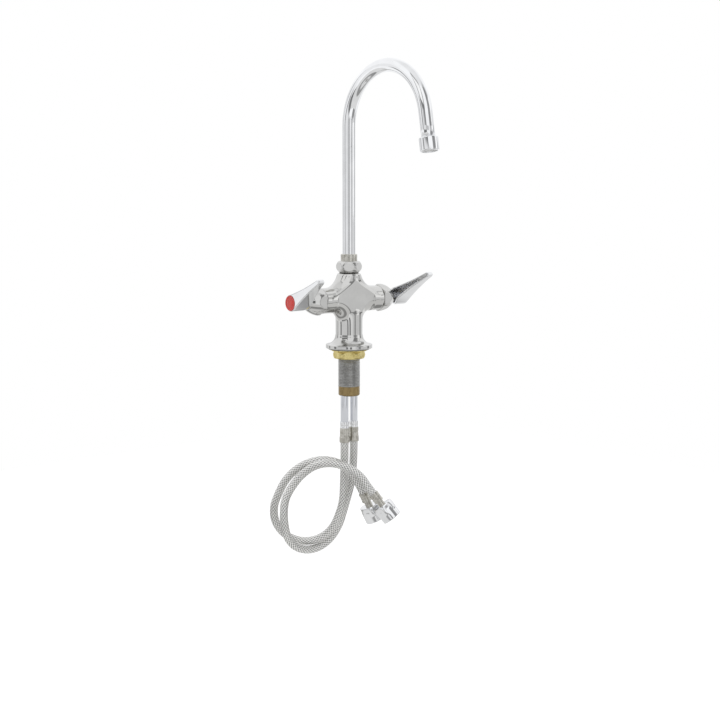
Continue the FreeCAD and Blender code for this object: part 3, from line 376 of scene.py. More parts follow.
def roundedProfile(points, radius, closed=True):
    # a lathe's profile, (radius, height) in mm, with its corners rounded off
    points = [np.array(point, float) for point in points]
    count = len(points)
    shares = np.linspace(0, 1, 5)
    smooth = []
    for index, corner in enumerate(points):
        if not closed and index in (0, count - 1):
            smooth.append(corner)
            continue
        before = points[index - 1] - corner
        after = points[(index + 1) % count] - corner
        cut = min(radius, 0.45 * np.linalg.norm(before), 0.45 * np.linalg.norm(after))
        start = corner + before / np.linalg.norm(before) * cut
        end = corner + after / np.linalg.norm(after) * cut
        for t in shares:
            smooth.append((1 - t) ** 2 * start + 2 * t * (1 - t) * corner + t * t * end)
    return np.array(smooth)


def turnedRound(profile, around):
    angles = np.linspace(0, 2 * math.pi, around, endpoint=False)
    verts = np.zeros((around, len(profile), 3))
    verts[:, :, 0] = np.cos(angles)[:, None] * profile[None, :, 0]
    verts[:, :, 1] = np.sin(angles)[:, None] * profile[None, :, 0]
    verts[:, :, 2] = profile[None, :, 1]
    return verts.reshape(-1, 3)


def latheMesh(points, radius=0.3, around=96):
    # closed profile turned about Z; heights and radii in mm, mesh in metres
    profile = roundedProfile(points, radius)
    return turnedRound(profile, around) * mm, gridFaces(around, len(profile))


def ringProfile(inner, outer, bottom, top):
    return [(inner, bottom), (outer, bottom), (outer, top), (inner, top)]


def solidLathe(points, radius, around):
    # the same for a profile that starts and ends on the axis
    profile = roundedProfile(points, radius, closed=False)
    inner = profile[1:-1]
    count = len(inner)
    poles = [(0, 0, profile[0][1]), (0, 0, profile[-1][1])]
    faces = gridFaces(around, count, closedColumns=False)
    for ring in range(around):
        following = (ring + 1) % around
        faces.append((around * count, following * count, ring * count))
        faces.append((around * count + 1, ring * count + count - 1, following * count + count - 1))
    return np.concatenate([turnedRound(inner, around), poles]) * mm, faces


def gridFaces(rows, columns, closedRows=True, closedColumns=True):
    # quads over a grid of points that may close on itself either way
    faces = []
    for row in range(rows if closedRows else rows - 1):
        following = (row + 1) % rows * columns
        for index in range(columns if closedColumns else columns - 1):
            after = (index + 1) % columns
            faces.append((row * columns + index, following + index, following + after, row * columns + after))
    return faces


def unit(values):
    return np.clip(values, 0, 1)


def placed(verts, matrix):
    verts = np.asarray(verts, float)
    grid = np.array(matrix)
    return verts @ grid[:3, :3].T + grid[:3, 3]


def frameAt(origin, outward, upward=(0, 0, 1)):
    # local Z outward and local Y as near to upward as can be; origin in metres
    outward = Vector(outward).normalized()
    across = Vector(upward).cross(outward).normalized()
    up = outward.cross(across)
    matrix = Matrix((across, up, outward)).transposed().to_4x4()
    matrix.translation = Vector(origin)
    return matrix


def sampleGrid(values, spots):
    # trilinear reading of a grid at fractional spots
    base = np.clip(np.floor(spots).astype(int), 0, np.array(values.shape[:3]) - 2)
    part = spots - base
    total = 0
    for corner in np.ndindex(2, 2, 2):
        weight = np.where(corner, part, 1 - part).prod(1)
        read = values[tuple((base + corner).T)]
        total = total + (read * weight[:, None] if read.ndim > 1 else read * weight)
    return total


def softened(values, sigma):
    # small Gaussian blur, which rounds a cast piece's edges and corners
    reach = max(1, int(math.ceil(3 * sigma)))
    kernel = np.exp(-0.5 * (np.arange(-reach, reach + 1) / sigma) ** 2)
    kernel /= kernel.sum()
    for axis in range(3):
        edges = [(reach, reach) if axis == other else (0, 0) for other in range(3)]
        padded = np.pad(values, edges, "edge")
        length = values.shape[axis]
        values = sum(weight * np.take(padded, range(shift, shift + length), axis)
                     for shift, weight in enumerate(kernel))
    return values


def castMesh(field, box, settings):
    # meshes the space where field(x, y, z) is negative; all in mm
    step = settings["step"]
    low, high = np.array(box, float)
    axes = [np.arange(low[axis], high[axis] + step, step) for axis in range(3)]
    x, y, z = np.meshgrid(*axes, indexing="ij", sparse=True)
    values = np.asarray(field(x, y, z), float)
    values = np.broadcast_to(values, [len(axis) for axis in axes]).copy()
    values = np.clip(values, -4 * step - 3, 4 * step + 3)
    values = softened(values, settings["rounding"] / step)
    inside = values < 0
    cells = tuple(size - 1 for size in values.shape)
    total = np.zeros(cells + (3,))
    count = np.zeros(cells)
    crossings = []
    for axis in range(3):
        first = tuple(slice(0, -1) if other == axis else slice(None) for other in range(3))
        second = tuple(slice(1, None) if other == axis else slice(None) for other in range(3))
        cut = inside[first] != inside[second]
        crossings.append(cut)
        share = np.where(cut, values[first] / np.where(cut, values[first] - values[second], 1), 0)
        others = [other for other in range(3) if other != axis]
        for a, b in np.ndindex(2, 2):
            window = [slice(None)] * 3
            window[others[0]] = slice(a, a + cells[others[0]])
            window[others[1]] = slice(b, b + cells[others[1]])
            window = tuple(window)
            found = cut[window]
            count += found
            total[..., axis] += np.where(found, share[window], 0)
            total[..., others[0]] += np.where(found, a, 0)
            total[..., others[1]] += np.where(found, b, 0)
    active = count > 0
    number = np.full(cells, -1)
    number[active] = np.arange(active.sum())
    spots = np.argwhere(active) + total[active] / count[active][:, None]
    faces = []
    for axis in range(3):
        others = [other for other in range(3) if other != axis]
        cut = crossings[axis]
        where = np.argwhere(cut)
        last = np.array(cut.shape)[others] - 1
        where = where[np.all((where[:, others] > 0) & (where[:, others] < last), axis=1)]
        corners = []
        for a, b in ((-1, -1), (0, -1), (0, 0), (-1, 0)):
            spot = where.copy()
            spot[:, others[0]] += a
            spot[:, others[1]] += b
            corners.append(number[spot[:, 0], spot[:, 1], spot[:, 2]])
        quads = np.stack(corners, 1)
        flip = inside[where[:, 0], where[:, 1], where[:, 2]] ^ (axis == 1)
        quads[~flip] = quads[~flip][:, ::-1]
        faces.append(quads)
    slope = np.stack(np.gradient(values), -1)
    for sweep in range(3):
        pull = sampleGrid(slope, spots)
        steep = np.maximum((pull ** 2).sum(1), 1e-9)
        spots = spots - pull * (sampleGrid(values, spots) / steep)[:, None]
    normals = sampleGrid(slope, spots)
    normals /= np.linalg.norm(normals, axis=1)[:, None]
    return (spots * step + low) * mm, np.concatenate(faces).tolist(), normals


def hexDistance(a, b, flats):
    # distance outside a hexagon with its corners on the first axis
    half = math.sqrt(3) / 2
    slanted = np.maximum(np.abs(b * 0.5 + a * half), np.abs(b * 0.5 - a * half))
    return np.maximum(np.abs(b), slanted) - flats / 2


def legs(a, b):
    return np.sqrt(a * a + b * b)


def smallerOf(*fields):
    return np.minimum.reduce(np.broadcast_arrays(*fields))


def largerOf(*fields):
    return np.maximum.reduce(np.broadcast_arrays(*fields))


def joinedSoftly(first, second, width):
    closeness = np.maximum(width - np.abs(first - second), 0) / width
    return np.minimum(first, second) - closeness * closeness * width / 4


def largerRounded(first, second, radius):
    a = np.maximum(first + radius, 0)
    b = np.maximum(second + radius, 0)
    return np.minimum(np.maximum(first, second), -radius) + legs(a, b)


# ---- hoses: the routes' points repeat the part's source, in metres
hose = dict(
    diameter=0.0102,
    hotLength=0.410, coldLength=0.428,
    carriers=9,  # braid bundles each way round the hose
    lay=0.0400,  # length in which a bundle goes once round
    bands=0.00045,  # how far the bundles stand over each other
    dip=0.75,  # how far a bundle dips where another crosses it
    crown=1.6,  # higher makes a bundle flatter on top
    seam=(0.3, 0.9, 0.1),
    around=80, step=0.00075,
)
hotRoute = [
    (-0.0074, 0, -0.101), (-0.0074, 0, -0.127), (-0.00784, 0.0002, -0.1501), (-0.00861, 5e-05, -0.1718),
    (-0.00949, 0.00039, -0.1912), (-0.01188, 0.00505, -0.2079), (-0.01494, 0.01206, -0.225),
    (-0.02277, 0.0205, -0.2372), (-0.03397, 0.03003, -0.244), (-0.04684, 0.03988, -0.2445),
    (-0.05922, 0.04843, -0.2387), (-0.06921, 0.05438, -0.2275), (-0.0752, 0.05668, -0.2127),
    (-0.07613, 0.05538, -0.1965), (-0.0723, 0.05058, -0.1809), (-0.06724, 0.04413, -0.1648),
    (-0.05946, 0.03469, -0.1511), (-0.04796, 0.02221, -0.1405), (-0.03335, 0.00784, -0.136),
    (-0.01952, -0.00511, -0.1406), (-0.00812, -0.01518, -0.1536), (0.0001, -0.02124, -0.1695),
    (0.0068, -0.02568, -0.1875),
]
coldRoute = [
    (0.0074, 0, -0.101), (0.0074, 0, -0.127), (0.00701, 0.001, -0.1501), (0.00515, 0.00251, -0.1704),
    (0.00272, 0.00682, -0.1887), (0.00251, 0.01447, -0.2074), (0.00068, 0.02061, -0.2268),
    (-0.00904, 0.02389, -0.2427), (-0.02499, 0.02632, -0.2527), (-0.04374, 0.02832, -0.2544),
    (-0.06063, 0.02945, -0.2484), (-0.0738, 0.02896, -0.2357), (-0.08039, 0.02659, -0.2196),
    (-0.08125, 0.02807, -0.2014), (-0.07658, 0.0311, -0.1838), (-0.0672, 0.02836, -0.1683),
    (-0.05879, 0.01969, -0.1532), (-0.04806, 0.00642, -0.1409), (-0.03392, -0.00821, -0.1375),
    (-0.02062, -0.02164, -0.1429), (-0.00991, -0.03399, -0.1525), (-0.00378, -0.0426, -0.168),
    (0.00438, -0.0508, -0.1825),
]


def splineLine(route):
    # the route's NURBS spline, read as evenly spaced points
    data = bpy.data.curves.new("routeLine", "CURVE")
    data.dimensions = "3D"
    data.resolution_u = 24
    spline = data.splines.new("NURBS")
    spline.points.add(len(route) - 1)
    for point, place in zip(spline.points, route):
        point.co = (*place, 1)
    spline.order_u = 3
    spline.use_endpoint_u = True
    holder = bpy.data.objects.new("routeLine", data)
    mesh = bpy.data.meshes.new_from_object(holder)
    line = np.array([tuple(vertex.co) for vertex in mesh.vertices])
    bpy.data.objects.remove(holder)
    bpy.data.meshes.remove(mesh)
    reach = np.concatenate([[0], np.cumsum(np.linalg.norm(np.diff(line, axis=0), axis=1))])
    even = np.linspace(0, reach[-1], int(reach[-1] / hose["step"]) + 1)
    return np.stack([np.interp(even, reach, line[:, axis]) for axis in range(3)], 1), reach[-1]


def carriedFrames(line):
    # directions across the line, carried along it without twisting
    tangents = np.gradient(line, axis=0)
    tangents /= np.linalg.norm(tangents, axis=1)[:, None]
    across = np.cross(tangents[0], hose["seam"])
    across /= np.linalg.norm(across)
    frames = []
    for tangent in tangents:
        across = across - tangent * (across @ tangent)
        across /= np.linalg.norm(across)
        frames.append((across, np.cross(tangent, across)))
    return np.array(frames)


def makeHose(name, route, fittings):
    line, reach = splineLine(route)
    frames = carriedFrames(line)
    around = hose["around"]
    carriers = hose["carriers"]
    turn = np.arange(around + 1) / around  # share of the way round
    lay = np.arange(len(line)) * (reach / (len(line) - 1)) / hose["lay"]
    u, v = np.meshgrid(turn * carriers, lay * carriers)
    left = (u + v) % 1.0
    right = (u - v) % 1.0
    crossing = (np.floor(u + v) + np.floor(u - v)) % 2  # which bundle is on top here
    top = np.where(crossing > 0.5, left, right)
    low = np.where(crossing > 0.5, right, left)
    crown = np.sqrt(unit(1 - (2 * top - 1) ** 2))
    dip = np.sin(math.pi * low)  # the top bundle is highest at the middle of its crossing
    depth = unit(1 - hose["dip"] + hose["dip"] * dip) * unit(crown * hose["crown"])
    radius = hose["diameter"] / 2 - hose["bands"] * (1 - depth)
    angle = turn * 2 * math.pi
    outward = (np.cos(angle)[None, :, None] * frames[:, 0][:, None, :]
               + np.sin(angle)[None, :, None] * frames[:, 1][:, None, :])
    verts = line[:, None, :] + radius[..., None] * outward
    verts = verts[:, :around].reshape(-1, 3)
    faces = [(a, d, c, b) for a, b, c, d in gridFaces(len(line), around, closedRows=False)]
    uvs = []
    for ring, index in np.ndindex(len(line) - 1, around):
        corners = ((ring, index), (ring, index + 1), (ring + 1, index + 1), (ring + 1, index))
        uvs += [(u[corner], v[corner]) for corner in corners]
    last = (len(line) - 1) * around
    faces.append(tuple(reversed(range(around))))
    faces.append(tuple(range(last, last + around)))
    uvs += [(0, 0)] * (2 * around)
    piece = makePiece(f"{name}_hose", (verts, faces), None, [braid], f"{name}BraidedHose")
    layer = piece.data.uv_layers.new(name="UVMap")
    layer.data.foreach_set("uv", np.array(uvs, float).ravel())
    for label, values in (("overLeft", crossing), ("depth", depth)):
        attribute = piece.data.attributes.new(label, "FLOAT", "POINT")
        attribute.data.foreach_set("value", values[:, :around].astype(np.float32).ravel())
    print(f"{name} hose is {reach:.3f} m long")


# ---- fittings on the hoses; heights run outward from the hose's end, profiles are (radius, height)
lowerFerrule = dict(
    hoseRadius=5.16, lipRadius=6.3, crestRadius=6.0, crimpRadius=5.75, noseRadius=5.5, tailRadius=2.6,
    bottom=-10.0, top=2.0, wall=2.0, nose=0.9,
    crimps=3, crimpHalf=0.6, crestHalf=1.1,
)
hoseEnd = dict(
    sleeve=[(5.16, -16.0), (6.3, -16.0), (6.3, -9.2), (5.9, -8.8), (5.9, -5.2), (5.6, -4.8), (5.6, -4.0),
            (5.9, -3.6), (5.9, 1.5), (5.5, 2.0), (2.6, 2.0), (2.6, 0.0), (5.16, 0.0)],
    tail=[(2.6, 2.0), (4.3, 2.0), (4.3, 10.0), (8.8, 10.0), (8.8, 12.0), (6.2, 12.0), (6.2, 14.5),
          (2.6, 14.5)],
    washer=ringProfile(6.25, 9.6, 12.0, 14.4),
    around=72,
)
couplingNut = dict(
    flats=23.8, cornerRadius=13.2, crownEnd=12.1, bottom=7.2, top=19.7, collarRadius=12.2, collarTop=27.7,
    backBore=4.35, backWall=2.6,
    reliefRadius=10.6, seatTop=14.4, threadRadius=10.2,
    overlap=0.4,  # of one bore with the next
    step=0.4, rounding=0.3,
)


def makeLowerFerrule(side, matrix):
    # crimped cup over the hose; its rings are pressed in
    size = SimpleNamespace(**lowerFerrule)
    bottom = size.bottom
    top = size.top
    wall = size.wall
    profile = [(size.hoseRadius, bottom), (size.lipRadius, bottom)]
    for index in range(size.crimps):
        share = (index + 0.5) / size.crimps
        centre = bottom + wall + (top - bottom - 2 * wall) * share
        profile += [
            (size.lipRadius if index == 0 else size.crestRadius, centre - size.crestHalf),
            (size.crimpRadius, centre - size.crimpHalf),
            (size.crimpRadius, centre + size.crimpHalf),
            (size.crestRadius, centre + size.crestHalf),
        ]
    profile += [
        (size.crestRadius, top - size.nose),
        (size.noseRadius, top),
        (size.tailRadius, top),
        (size.tailRadius, top - wall),
        (size.hoseRadius, top - wall),
    ]
    mesh = latheMesh(profile, 0.22, hoseEnd["around"])
    return makePiece(f"{side}_lower_ferrule", mesh, matrix)


def castBox(acrossX, acrossY, bottom, top):
    return (-acrossX, -acrossY, bottom), (acrossX, acrossY, top)


def nutField(nut, bore, collar=None):
    # hexagon with its corners turned down toward both ends
    size = SimpleNamespace(**nut)
    middle = (size.bottom + size.top) / 2

    def field(x, y, z):
        across = legs(x, y)
        bend = ((z - middle) / (size.top - middle)) ** 2
        crown = across - (size.cornerRadius - (size.cornerRadius - size.crownEnd) * bend)
        blank = largerOf(hexDistance(x, y, size.flats), crown, size.bottom - z, z - size.top)
        if collar is not None:
            blank = smallerOf(blank, largerOf(across - collar[0], middle - z, z - collar[1]))
        return largerOf(blank, *[-cut(across, z) for cut in bore])

    return field


def boreCut(radius, low, high):
    return lambda across, z: np.maximum(across - radius, np.maximum(low - z, z - high))


def makeCouplingNut(side, matrix):
    size = SimpleNamespace(**couplingNut)
    bore = [
        boreCut(size.backBore, size.bottom - 5, size.top),
        boreCut(size.reliefRadius, size.bottom + size.backWall, size.seatTop),
        boreCut(size.threadRadius, size.seatTop - size.overlap, size.collarTop + 5),
    ]
    collar = (size.collarRadius, size.collarTop)
    box = castBox(14.5, 14.5, size.bottom - 1.5, size.collarTop + 1.5)
    mesh = castMesh(nutField(couplingNut, bore, collar), box, couplingNut)
    return makePiece(f"{side}_coupling_nut", mesh, matrix)


def makeHoseEnd(side, route):
    size = SimpleNamespace(**hoseEnd)
    end = np.array(route[-1])
    matrix = frameAt(end, end - np.array(route[-2]))
    lower = makeLowerFerrule(side, matrix)
    top = frameAt((route[0][0], 0, route[0][2]), (0, 0, 1), (0, 1, 0))
    sleeve = latheMesh(size.sleeve, 0.15, size.around)
    upper = makePiece(f"{side}_upper_ferrule", sleeve, top)
    tail = latheMesh(size.tail, 0.25, size.around)
    tail = makePiece(f"{side}_hose_tail", tail, matrix)
    washer = latheMesh(size.washer, 0.4, size.around)
    washer = makePiece(f"{side}_hose_washer", washer, matrix)
    return [upper, lower, tail, washer, makeCouplingNut(side, matrix)]


for side, route, length in (("hot", hotRoute, hose["hotLength"]), ("cold", coldRoute, hose["coldLength"])):
    makeHose(side, route, makeHoseEnd(side, route))
print("hoses made")


# ---- mixing body
cast = dict(
    faceDepth=14.6, crossEnd=36.0, crossLap=5.0,
    apex=25.1, slope=0.5857, armHeight=60.0, armRadius=15.3, armLength=45.0, armBlend=1.6,
    spigotRadius=13.2, spigotStart=30.0, spigotEnd=53.0,
    elbowAcross=30.0, elbowUp=31.2, elbowBend=28.6,
    upperRadius=13.7, upperAcross=37.7, upperHeight=98.8,
    columnRadius=16.5, columnBottom=4.0,
    taperStart=41.0, taperLength=10.0,
    footRadius=28.6, footTop=16.6,
    footCurve=11.4,  # radius of the flange's hollow side
    footCurveAcross=28.4, footBlend=1.2,
    neckRadius=14.3, neckRound=2.4, neckTop=92.4,
    topSpigotRadius=11.5, topSpigotStart=88.0, spigotTop=100.8,
    socketRadius=9.35, socketFloor=83.8,
    armBore=10.6, armBoreStart=24.0,
    shankBore=13.55, shankBoreTop=12.0,
    gasketRadius=25.45, gasketRecess=0.6,
    blend=0.75,  # how softly the shoulders run into neck and arms
    blendBottom=62.0, blendRise=6.0, blendEnd=43.0, blendFade=5.0,
    threadLap=0.3,
    step=0.62, rounding=0.5,
)


def castBodyField(x, y, z):
    size = SimpleNamespace(**cast)
    side = np.abs(x)
    up = z - size.armHeight
    across = legs(x, y)
    armAcross = legs(y, up)
    slant = math.sqrt(1 + size.slope ** 2)
    # flat-faced cross with sloping shoulders
    cross = largerOf(np.abs(y) - size.faceDepth, (up + size.slope * side - size.apex) / slant,
                     side - size.crossEnd, size.elbowUp + size.crossLap - z)
    bend = legs(side - size.elbowAcross, z - size.elbowUp)
    cross = largerOf(cross, size.elbowBend - bend)
    elbow = largerOf(legs(bend - size.elbowBend, y) - size.faceDepth,
                     side - size.elbowAcross, size.elbowUp - z)
    # wider round elbows from the arms up into the neck
    upperBend = legs(side - size.upperAcross, z - size.upperHeight)
    upper = largerOf(legs(upperBend - size.upperAcross, y) - size.upperRadius,
                     side - size.upperAcross, z - size.upperHeight)
    arm = largerOf(armAcross - size.armRadius, side - size.armLength, size.elbowAcross - 1 - side)
    armSpigot = largerOf(armAcross - size.spigotRadius, side - size.spigotEnd,
                         size.spigotStart - side)
    # column, flange and neck
    taper = unit((z - size.taperStart) / size.taperLength)
    ease = taper * taper * (3 - 2 * taper)
    radius = size.columnRadius + (size.neckRadius - size.columnRadius) * ease
    column = largerOf(across - radius, size.columnBottom - z)
    hollow = legs(across - size.footCurveAcross, z - size.footTop)
    foot = largerOf(across - size.footRadius, -z, z - size.footTop, size.footCurve - hollow)
    topSpigot = largerOf(across - size.topSpigotRadius, size.topSpigotStart - z, z - size.spigotTop)
    shape = smallerOf(cross, elbow, upper)
    shape = joinedSoftly(shape, arm, size.armBlend)
    shape = joinedSoftly(shape, smallerOf(column, foot), size.footBlend)
    shape = largerRounded(shape, z - size.neckTop, size.neckRound)
    # the plate's shoulders are polished into the neck and the arms
    polished = softened(shape, size.blend / size.step)
    share = (unit((z - size.blendBottom) / size.blendRise)
             * unit((size.blendEnd - side) / size.blendFade))
    shape = shape + (polished - shape) * share
    shape = smallerOf(shape, armSpigot, topSpigot)
    # open bores
    socket = largerOf(across - size.socketRadius, size.socketFloor - z)
    bores = largerOf(armAcross - size.armBore, size.armBoreStart - side)
    shankHole = largerOf(across - size.shankBore, z - size.shankBoreTop)
    recess = largerOf(across - size.gasketRadius, z - size.gasketRecess)
    return largerOf(shape, -socket, -bores, -shankHole, -recess)


def makeBody():
    mesh = castMesh(castBodyField, castBox(55, 30, -1.5, 102.5), cast)
    piece = makePiece("mixing_body", mesh, None, [slotFinishes["body_chrome"], threadGapShade], "castMixingBody")
    # faces past the arms' and the neck's ends, the thread spigots, take the second finish: painted shade for
    # the gaps under the bonnets and the spout nut
    armEnd = cast["armLength"] + cast["threadLap"]
    neckEnd = cast["neckTop"] + cast["threadLap"]
    for face in piece.data.polygons:
        spot = face.center / mm
        face.material_index = int(abs(spot.x) > armEnd or spot.z > neckEnd)


makeBody()
print("mixing body cast")


# ---- deck hardware and supply tubes
nutTurn = Matrix.Rotation(math.radians(20.8), 4, "Z")  # of the locknut and the spout nut
shank = dict(
    radius=13.5, tipRadius=13.2, bottom=-58.7, tip=-47.0, top=12.0, chamfer=1.2,
    threadTop=-3.0, threadFade=1.5, threadPitch=1.81, threadDepth=0.75,
    grooveWidth=1.35, grooveFlank=4.0,
    tubeSpread=7.4, tubeBore=4.8,
    step=0.42, rounding=0.2,
)
deck = dict(
    gasket=ringProfile(13.55, 25.4, -1.2, 0.6),
    washer=ringProfile(13.55, 21.8, -3.0, -1.4),
)
locknut = dict(
    flats=36.4, cornerRadius=19.8, crownEnd=18.4, bottom=-12.4, top=-3.2, bore=13.55,
    step=0.45, rounding=0.3,
)
supply = dict(
    tube=ringProfile(3.6, 4.75, -99.0, 22.4),
    collar=[(4.8, -99.0), (5.7, -99.0), (5.7, -97.6), (5.45, -97.1), (5.45, -95.4), (5.7, -94.9),
            (5.7, -91.4), (5.35, -91.0), (4.8, -91.0)],
)


def shankField(x, y, z):
    size = SimpleNamespace(**shank)
    across = legs(x, y)
    turn = np.arctan2(y, x) / (2 * math.pi)
    phase = (z / size.threadPitch - turn) % 1.0
    groove = unit(size.grooveWidth - np.abs(phase - 0.5) * size.grooveFlank)
    fade = (unit((z - size.tip) / size.threadFade)
            * unit((size.threadTop - z) / size.threadFade))
    radius = np.where(z < size.tip, size.tipRadius, size.radius) - groove * size.threadDepth * fade
    chamfer = across - size.tipRadius + size.chamfer - (z - size.bottom)
    solid = largerOf(across - radius, chamfer * 0.7, size.bottom - z, z - size.top)
    for side in (-1, 1):
        bore = legs(x - side * size.tubeSpread, y) - size.tubeBore
        solid = largerOf(solid, -bore)
    return solid


def makeDeckHardware():
    mesh = castMesh(shankField, castBox(14.6, 14.6, -59.9, 13.2), shank)
    piece = makePiece("mounting_shank", mesh, None, [slotFinishes["shank_grey"], tipBrass], "threadedShank")
    for face in piece.data.polygons:
        face.material_index = int(face.center.z < shank["tip"] * mm)
    makePiece("deck_gasket", latheMesh(deck["gasket"], 0.35), None, [gasketRubber])
    makePiece("mounting_washer", latheMesh(deck["washer"]))
    field = nutField(locknut, [boreCut(locknut["bore"], -20, 5)])
    makePiece("mounting_locknut", castMesh(field, castBox(21.5, 21.5, -13.6, -2.0), locknut), nutTurn)


def makeSupply(side, name):
    across = Matrix.Translation((side * shank["tubeSpread"] * mm, 0, 0))
    tube = latheMesh(supply["tube"], 0.2, 64)
    makePiece(f"{name}_supply_tube", tube, across, [supplyChrome])
    collar = latheMesh(supply["collar"], 0.2, 72)
    makePiece(f"{name}_upper_collar", collar, across)


makeDeckHardware()
for side, name in ((-1, "hot"), (1, "cold")):
    makeSupply(side, name)
print("deck hardware made")


# ---- bonnets and levers; z runs outward along the arm from the body's middle
bonnet = dict(
    flats=30.4, bottom=45.2, crownStart=50.2, top=66.0, crown=17.0, crownDrop=7.6, crownBulge=4.8,
    edge=0.6, threadRadius=13.25, threadEnd=55.25, stemRadius=8.25,
    step=0.5, rounding=0.35,
)
lever = dict(
    hub=10.0, tip=3.0, tipWidth=8.5, reach=62.0, waist=1.4,
    inner=67.0, innerBulge=2.4, hubSlope=0.4,
    outer=90.0, hotLift=27.5, coldLift=30.0, rimRound=1.3,
    scoopHub=7.8, scoopTip=1.5, scoopReach=44.0, scoopWaist=0.7,
    rawLap=0.4,  # how far the rough finish goes past the scoop
    floor=87.0, bossRadius=5.6, squareHalf=3.05, squareTop=84.3,
    screwRadius=1.95, screwStart=84.0, headRadius=3.85, headSeat=86.3, seatRadius=9.05, seat=88.1,
    step=0.42, rounding=0.3,
)
# the button's face, height measured from its seat
buttonProfile = [(0, 0), (9.0, 0), (9.0, 1.9), (8.5, 2.3), (7.6, 2.3), (7.2, 1.75), (6.0, 1.7), (5.6, 2.0),
                 (3.0, 2.35), (0, 2.5)]


def bonnetField(x, y, z):
    size = SimpleNamespace(**bonnet)
    across = legs(x, y)
    share = unit((z - size.crownStart) / (size.top - size.crownStart))
    crown = size.crown - size.crownDrop * share + size.crownBulge * share * (1 - share)
    blank = largerOf(hexDistance(y, x, size.flats), (across - crown) * 0.9, size.bottom - z)
    blank = largerRounded(blank, z - size.top, size.edge)
    thread = largerOf(across - size.threadRadius, z - size.threadEnd)
    return largerOf(blank, -smallerOf(thread, across - size.stemRadius))


def teardropField(x, y, hub, tip, reach, waist):
    sine = (hub - tip) / reach
    cosine = math.sqrt(1 - sine * sine)
    start = hub * sine
    end = reach + tip * sine
    share = unit((y - start) / (end - start))
    width = cosine * (hub + (tip - hub) * share) - waist * 4 * share * (1 - share)
    sides = largerOf(np.abs(x) - width, start - y, y - end)
    return smallerOf(legs(x, y) - hub, legs(x, y - reach) - tip, sides)


def scoopOutline(x, y, lap=0.0):
    size = SimpleNamespace(**lever)
    return teardropField(x, y, size.scoopHub + lap, size.scoopTip + lap, size.scoopReach,
                         size.scoopWaist)


def leverField(x, y, z):
    size = SimpleNamespace(**lever)
    across = legs(x, y)
    outline = teardropField(x, y, size.hub, size.tip, size.reach - size.tip, size.waist)
    blade = largerRounded(outline, z - size.outer, size.rimRound)
    share = unit((y - size.hub) / (size.reach - size.hub))
    slope = size.outer - size.tipWidth - size.inner
    bulge = size.innerBulge * share * (1 - share)
    inner = size.inner + slope * share + bulge + np.maximum(size.hub - y, 0) * size.hubSlope
    blade = largerOf(blade, (inner - z) * 0.93)
    scoop = largerOf(scoopOutline(x, y), z - size.floor)
    boss = largerOf(across - size.bossRadius, size.inner + 1 - z, z - size.seat)
    square = largerOf(np.maximum(np.abs(x), np.abs(y)) - size.squareHalf, z - size.squareTop)
    screwHole = largerOf(across - size.screwRadius, size.screwStart - z)
    head = largerOf(across - size.headRadius, size.headSeat - z)
    recess = largerOf(across - size.seatRadius, size.seat - z)
    blade = smallerOf(largerOf(blade, -scoop), boss)
    return largerOf(blade, -square, -smallerOf(screwHole, head), -recess)


def makeHandle(side, name):
    outward = (side, 0, 0)
    centre = (0, 0, cast["armHeight"] * mm)
    mesh = castMesh(bonnetField, castBox(18.5, 18.5, 44, 67.2), bonnet)
    makePiece(f"{name}_bonnet", mesh, frameAt(centre, outward))
    lift = math.radians(lever[f"{name}Lift"])
    turned = frameAt(centre, outward, (0, -math.cos(lift), math.sin(lift)))
    mesh = castMesh(leverField, ((-11.5, -11.5, 65.5), (11.5, 63.5, 91.4)), lever)
    piece = makePiece(f"{name}_lever", mesh, turned, [slotFinishes["bright_chrome"], rawCast])
    # the hollow under the blade isn't polished
    x, y, z = mesh[0][np.array(mesh[1])].mean(1).T / mm
    hollow = (scoopOutline(x, y, lever["rawLap"]) < 0) & (z < lever["floor"] + lever["rawLap"])
    piece.data.polygons.foreach_set("material_index", hollow.astype(np.int32))
    button = [(radius, lever["seat"] + height) for radius, height in buttonProfile]
    makePiece(f"{name}_index_button", solidLathe(button, 0.25, 96), turned)


for side, name in ((-1, "hot"), (1, "cold")):
    makeHandle(side, name)
print("levers made")


# ---- spout and outlet
spout = dict(
    radius=7.94, bore=6.74, bottom=97.0, springLine=267.2, bend=68.3, angle=170.0, tail=32.8,
    around=96, stemSteps=12, bendSteps=140,
    ferrule=[(6.74, 84.0), (9.3, 84.0), (9.3, 101.0), (8.7, 101.0), (8.7, 102.4), (9.3, 102.4),
             (9.3, 104.35), (10.1, 104.35), (10.1, 114.6), (9.4, 115.4), (7.99, 115.4), (7.99, 97.0),
             (6.74, 97.0)],
)
spoutNut = dict(
    flats=28.2, cornerRadius=15.8, crownEnd=12.7, bottom=93.4, top=106.9, lip=2.6,
    threadRadius=11.55, mouthRadius=10.15,
    step=0.42, rounding=0.3,
)
outlet = dict(
    place=(0, -0.143377, 0.234744), back=(0, 0.17365, 0.98481),
    profile=[(9.0, 0), (9.9, 0), (10.6, 0.3), (11.0, 1.2), (11.0, 14.8), (10.6, 15.7), (9.6, 16.0),
             (7.99, 16.0), (7.99, 11.0), (6.74, 11.0), (6.74, 9.6), (9.0, 9.6)],
)


def spoutLine():
    # depth, height and lean of the tube's middle from the body to the outlet
    size = SimpleNamespace(**spout)
    stem = np.linspace(size.bottom, size.springLine, size.stemSteps)
    stations = [(0.0, height, 0.0) for height in stem]
    for turn in np.linspace(0, math.radians(size.angle), size.bendSteps)[1:]:
        depth = size.bend * (math.cos(turn) - 1)
        height = size.springLine + size.bend * math.sin(turn)
        stations.append((depth, height, turn))
    depth, height, turn = stations[-1]
    for share in (0.5, 1.0):
        reach = size.tail * share
        stations.append((depth - reach * math.sin(turn), height + reach * math.cos(turn), turn))
    return stations


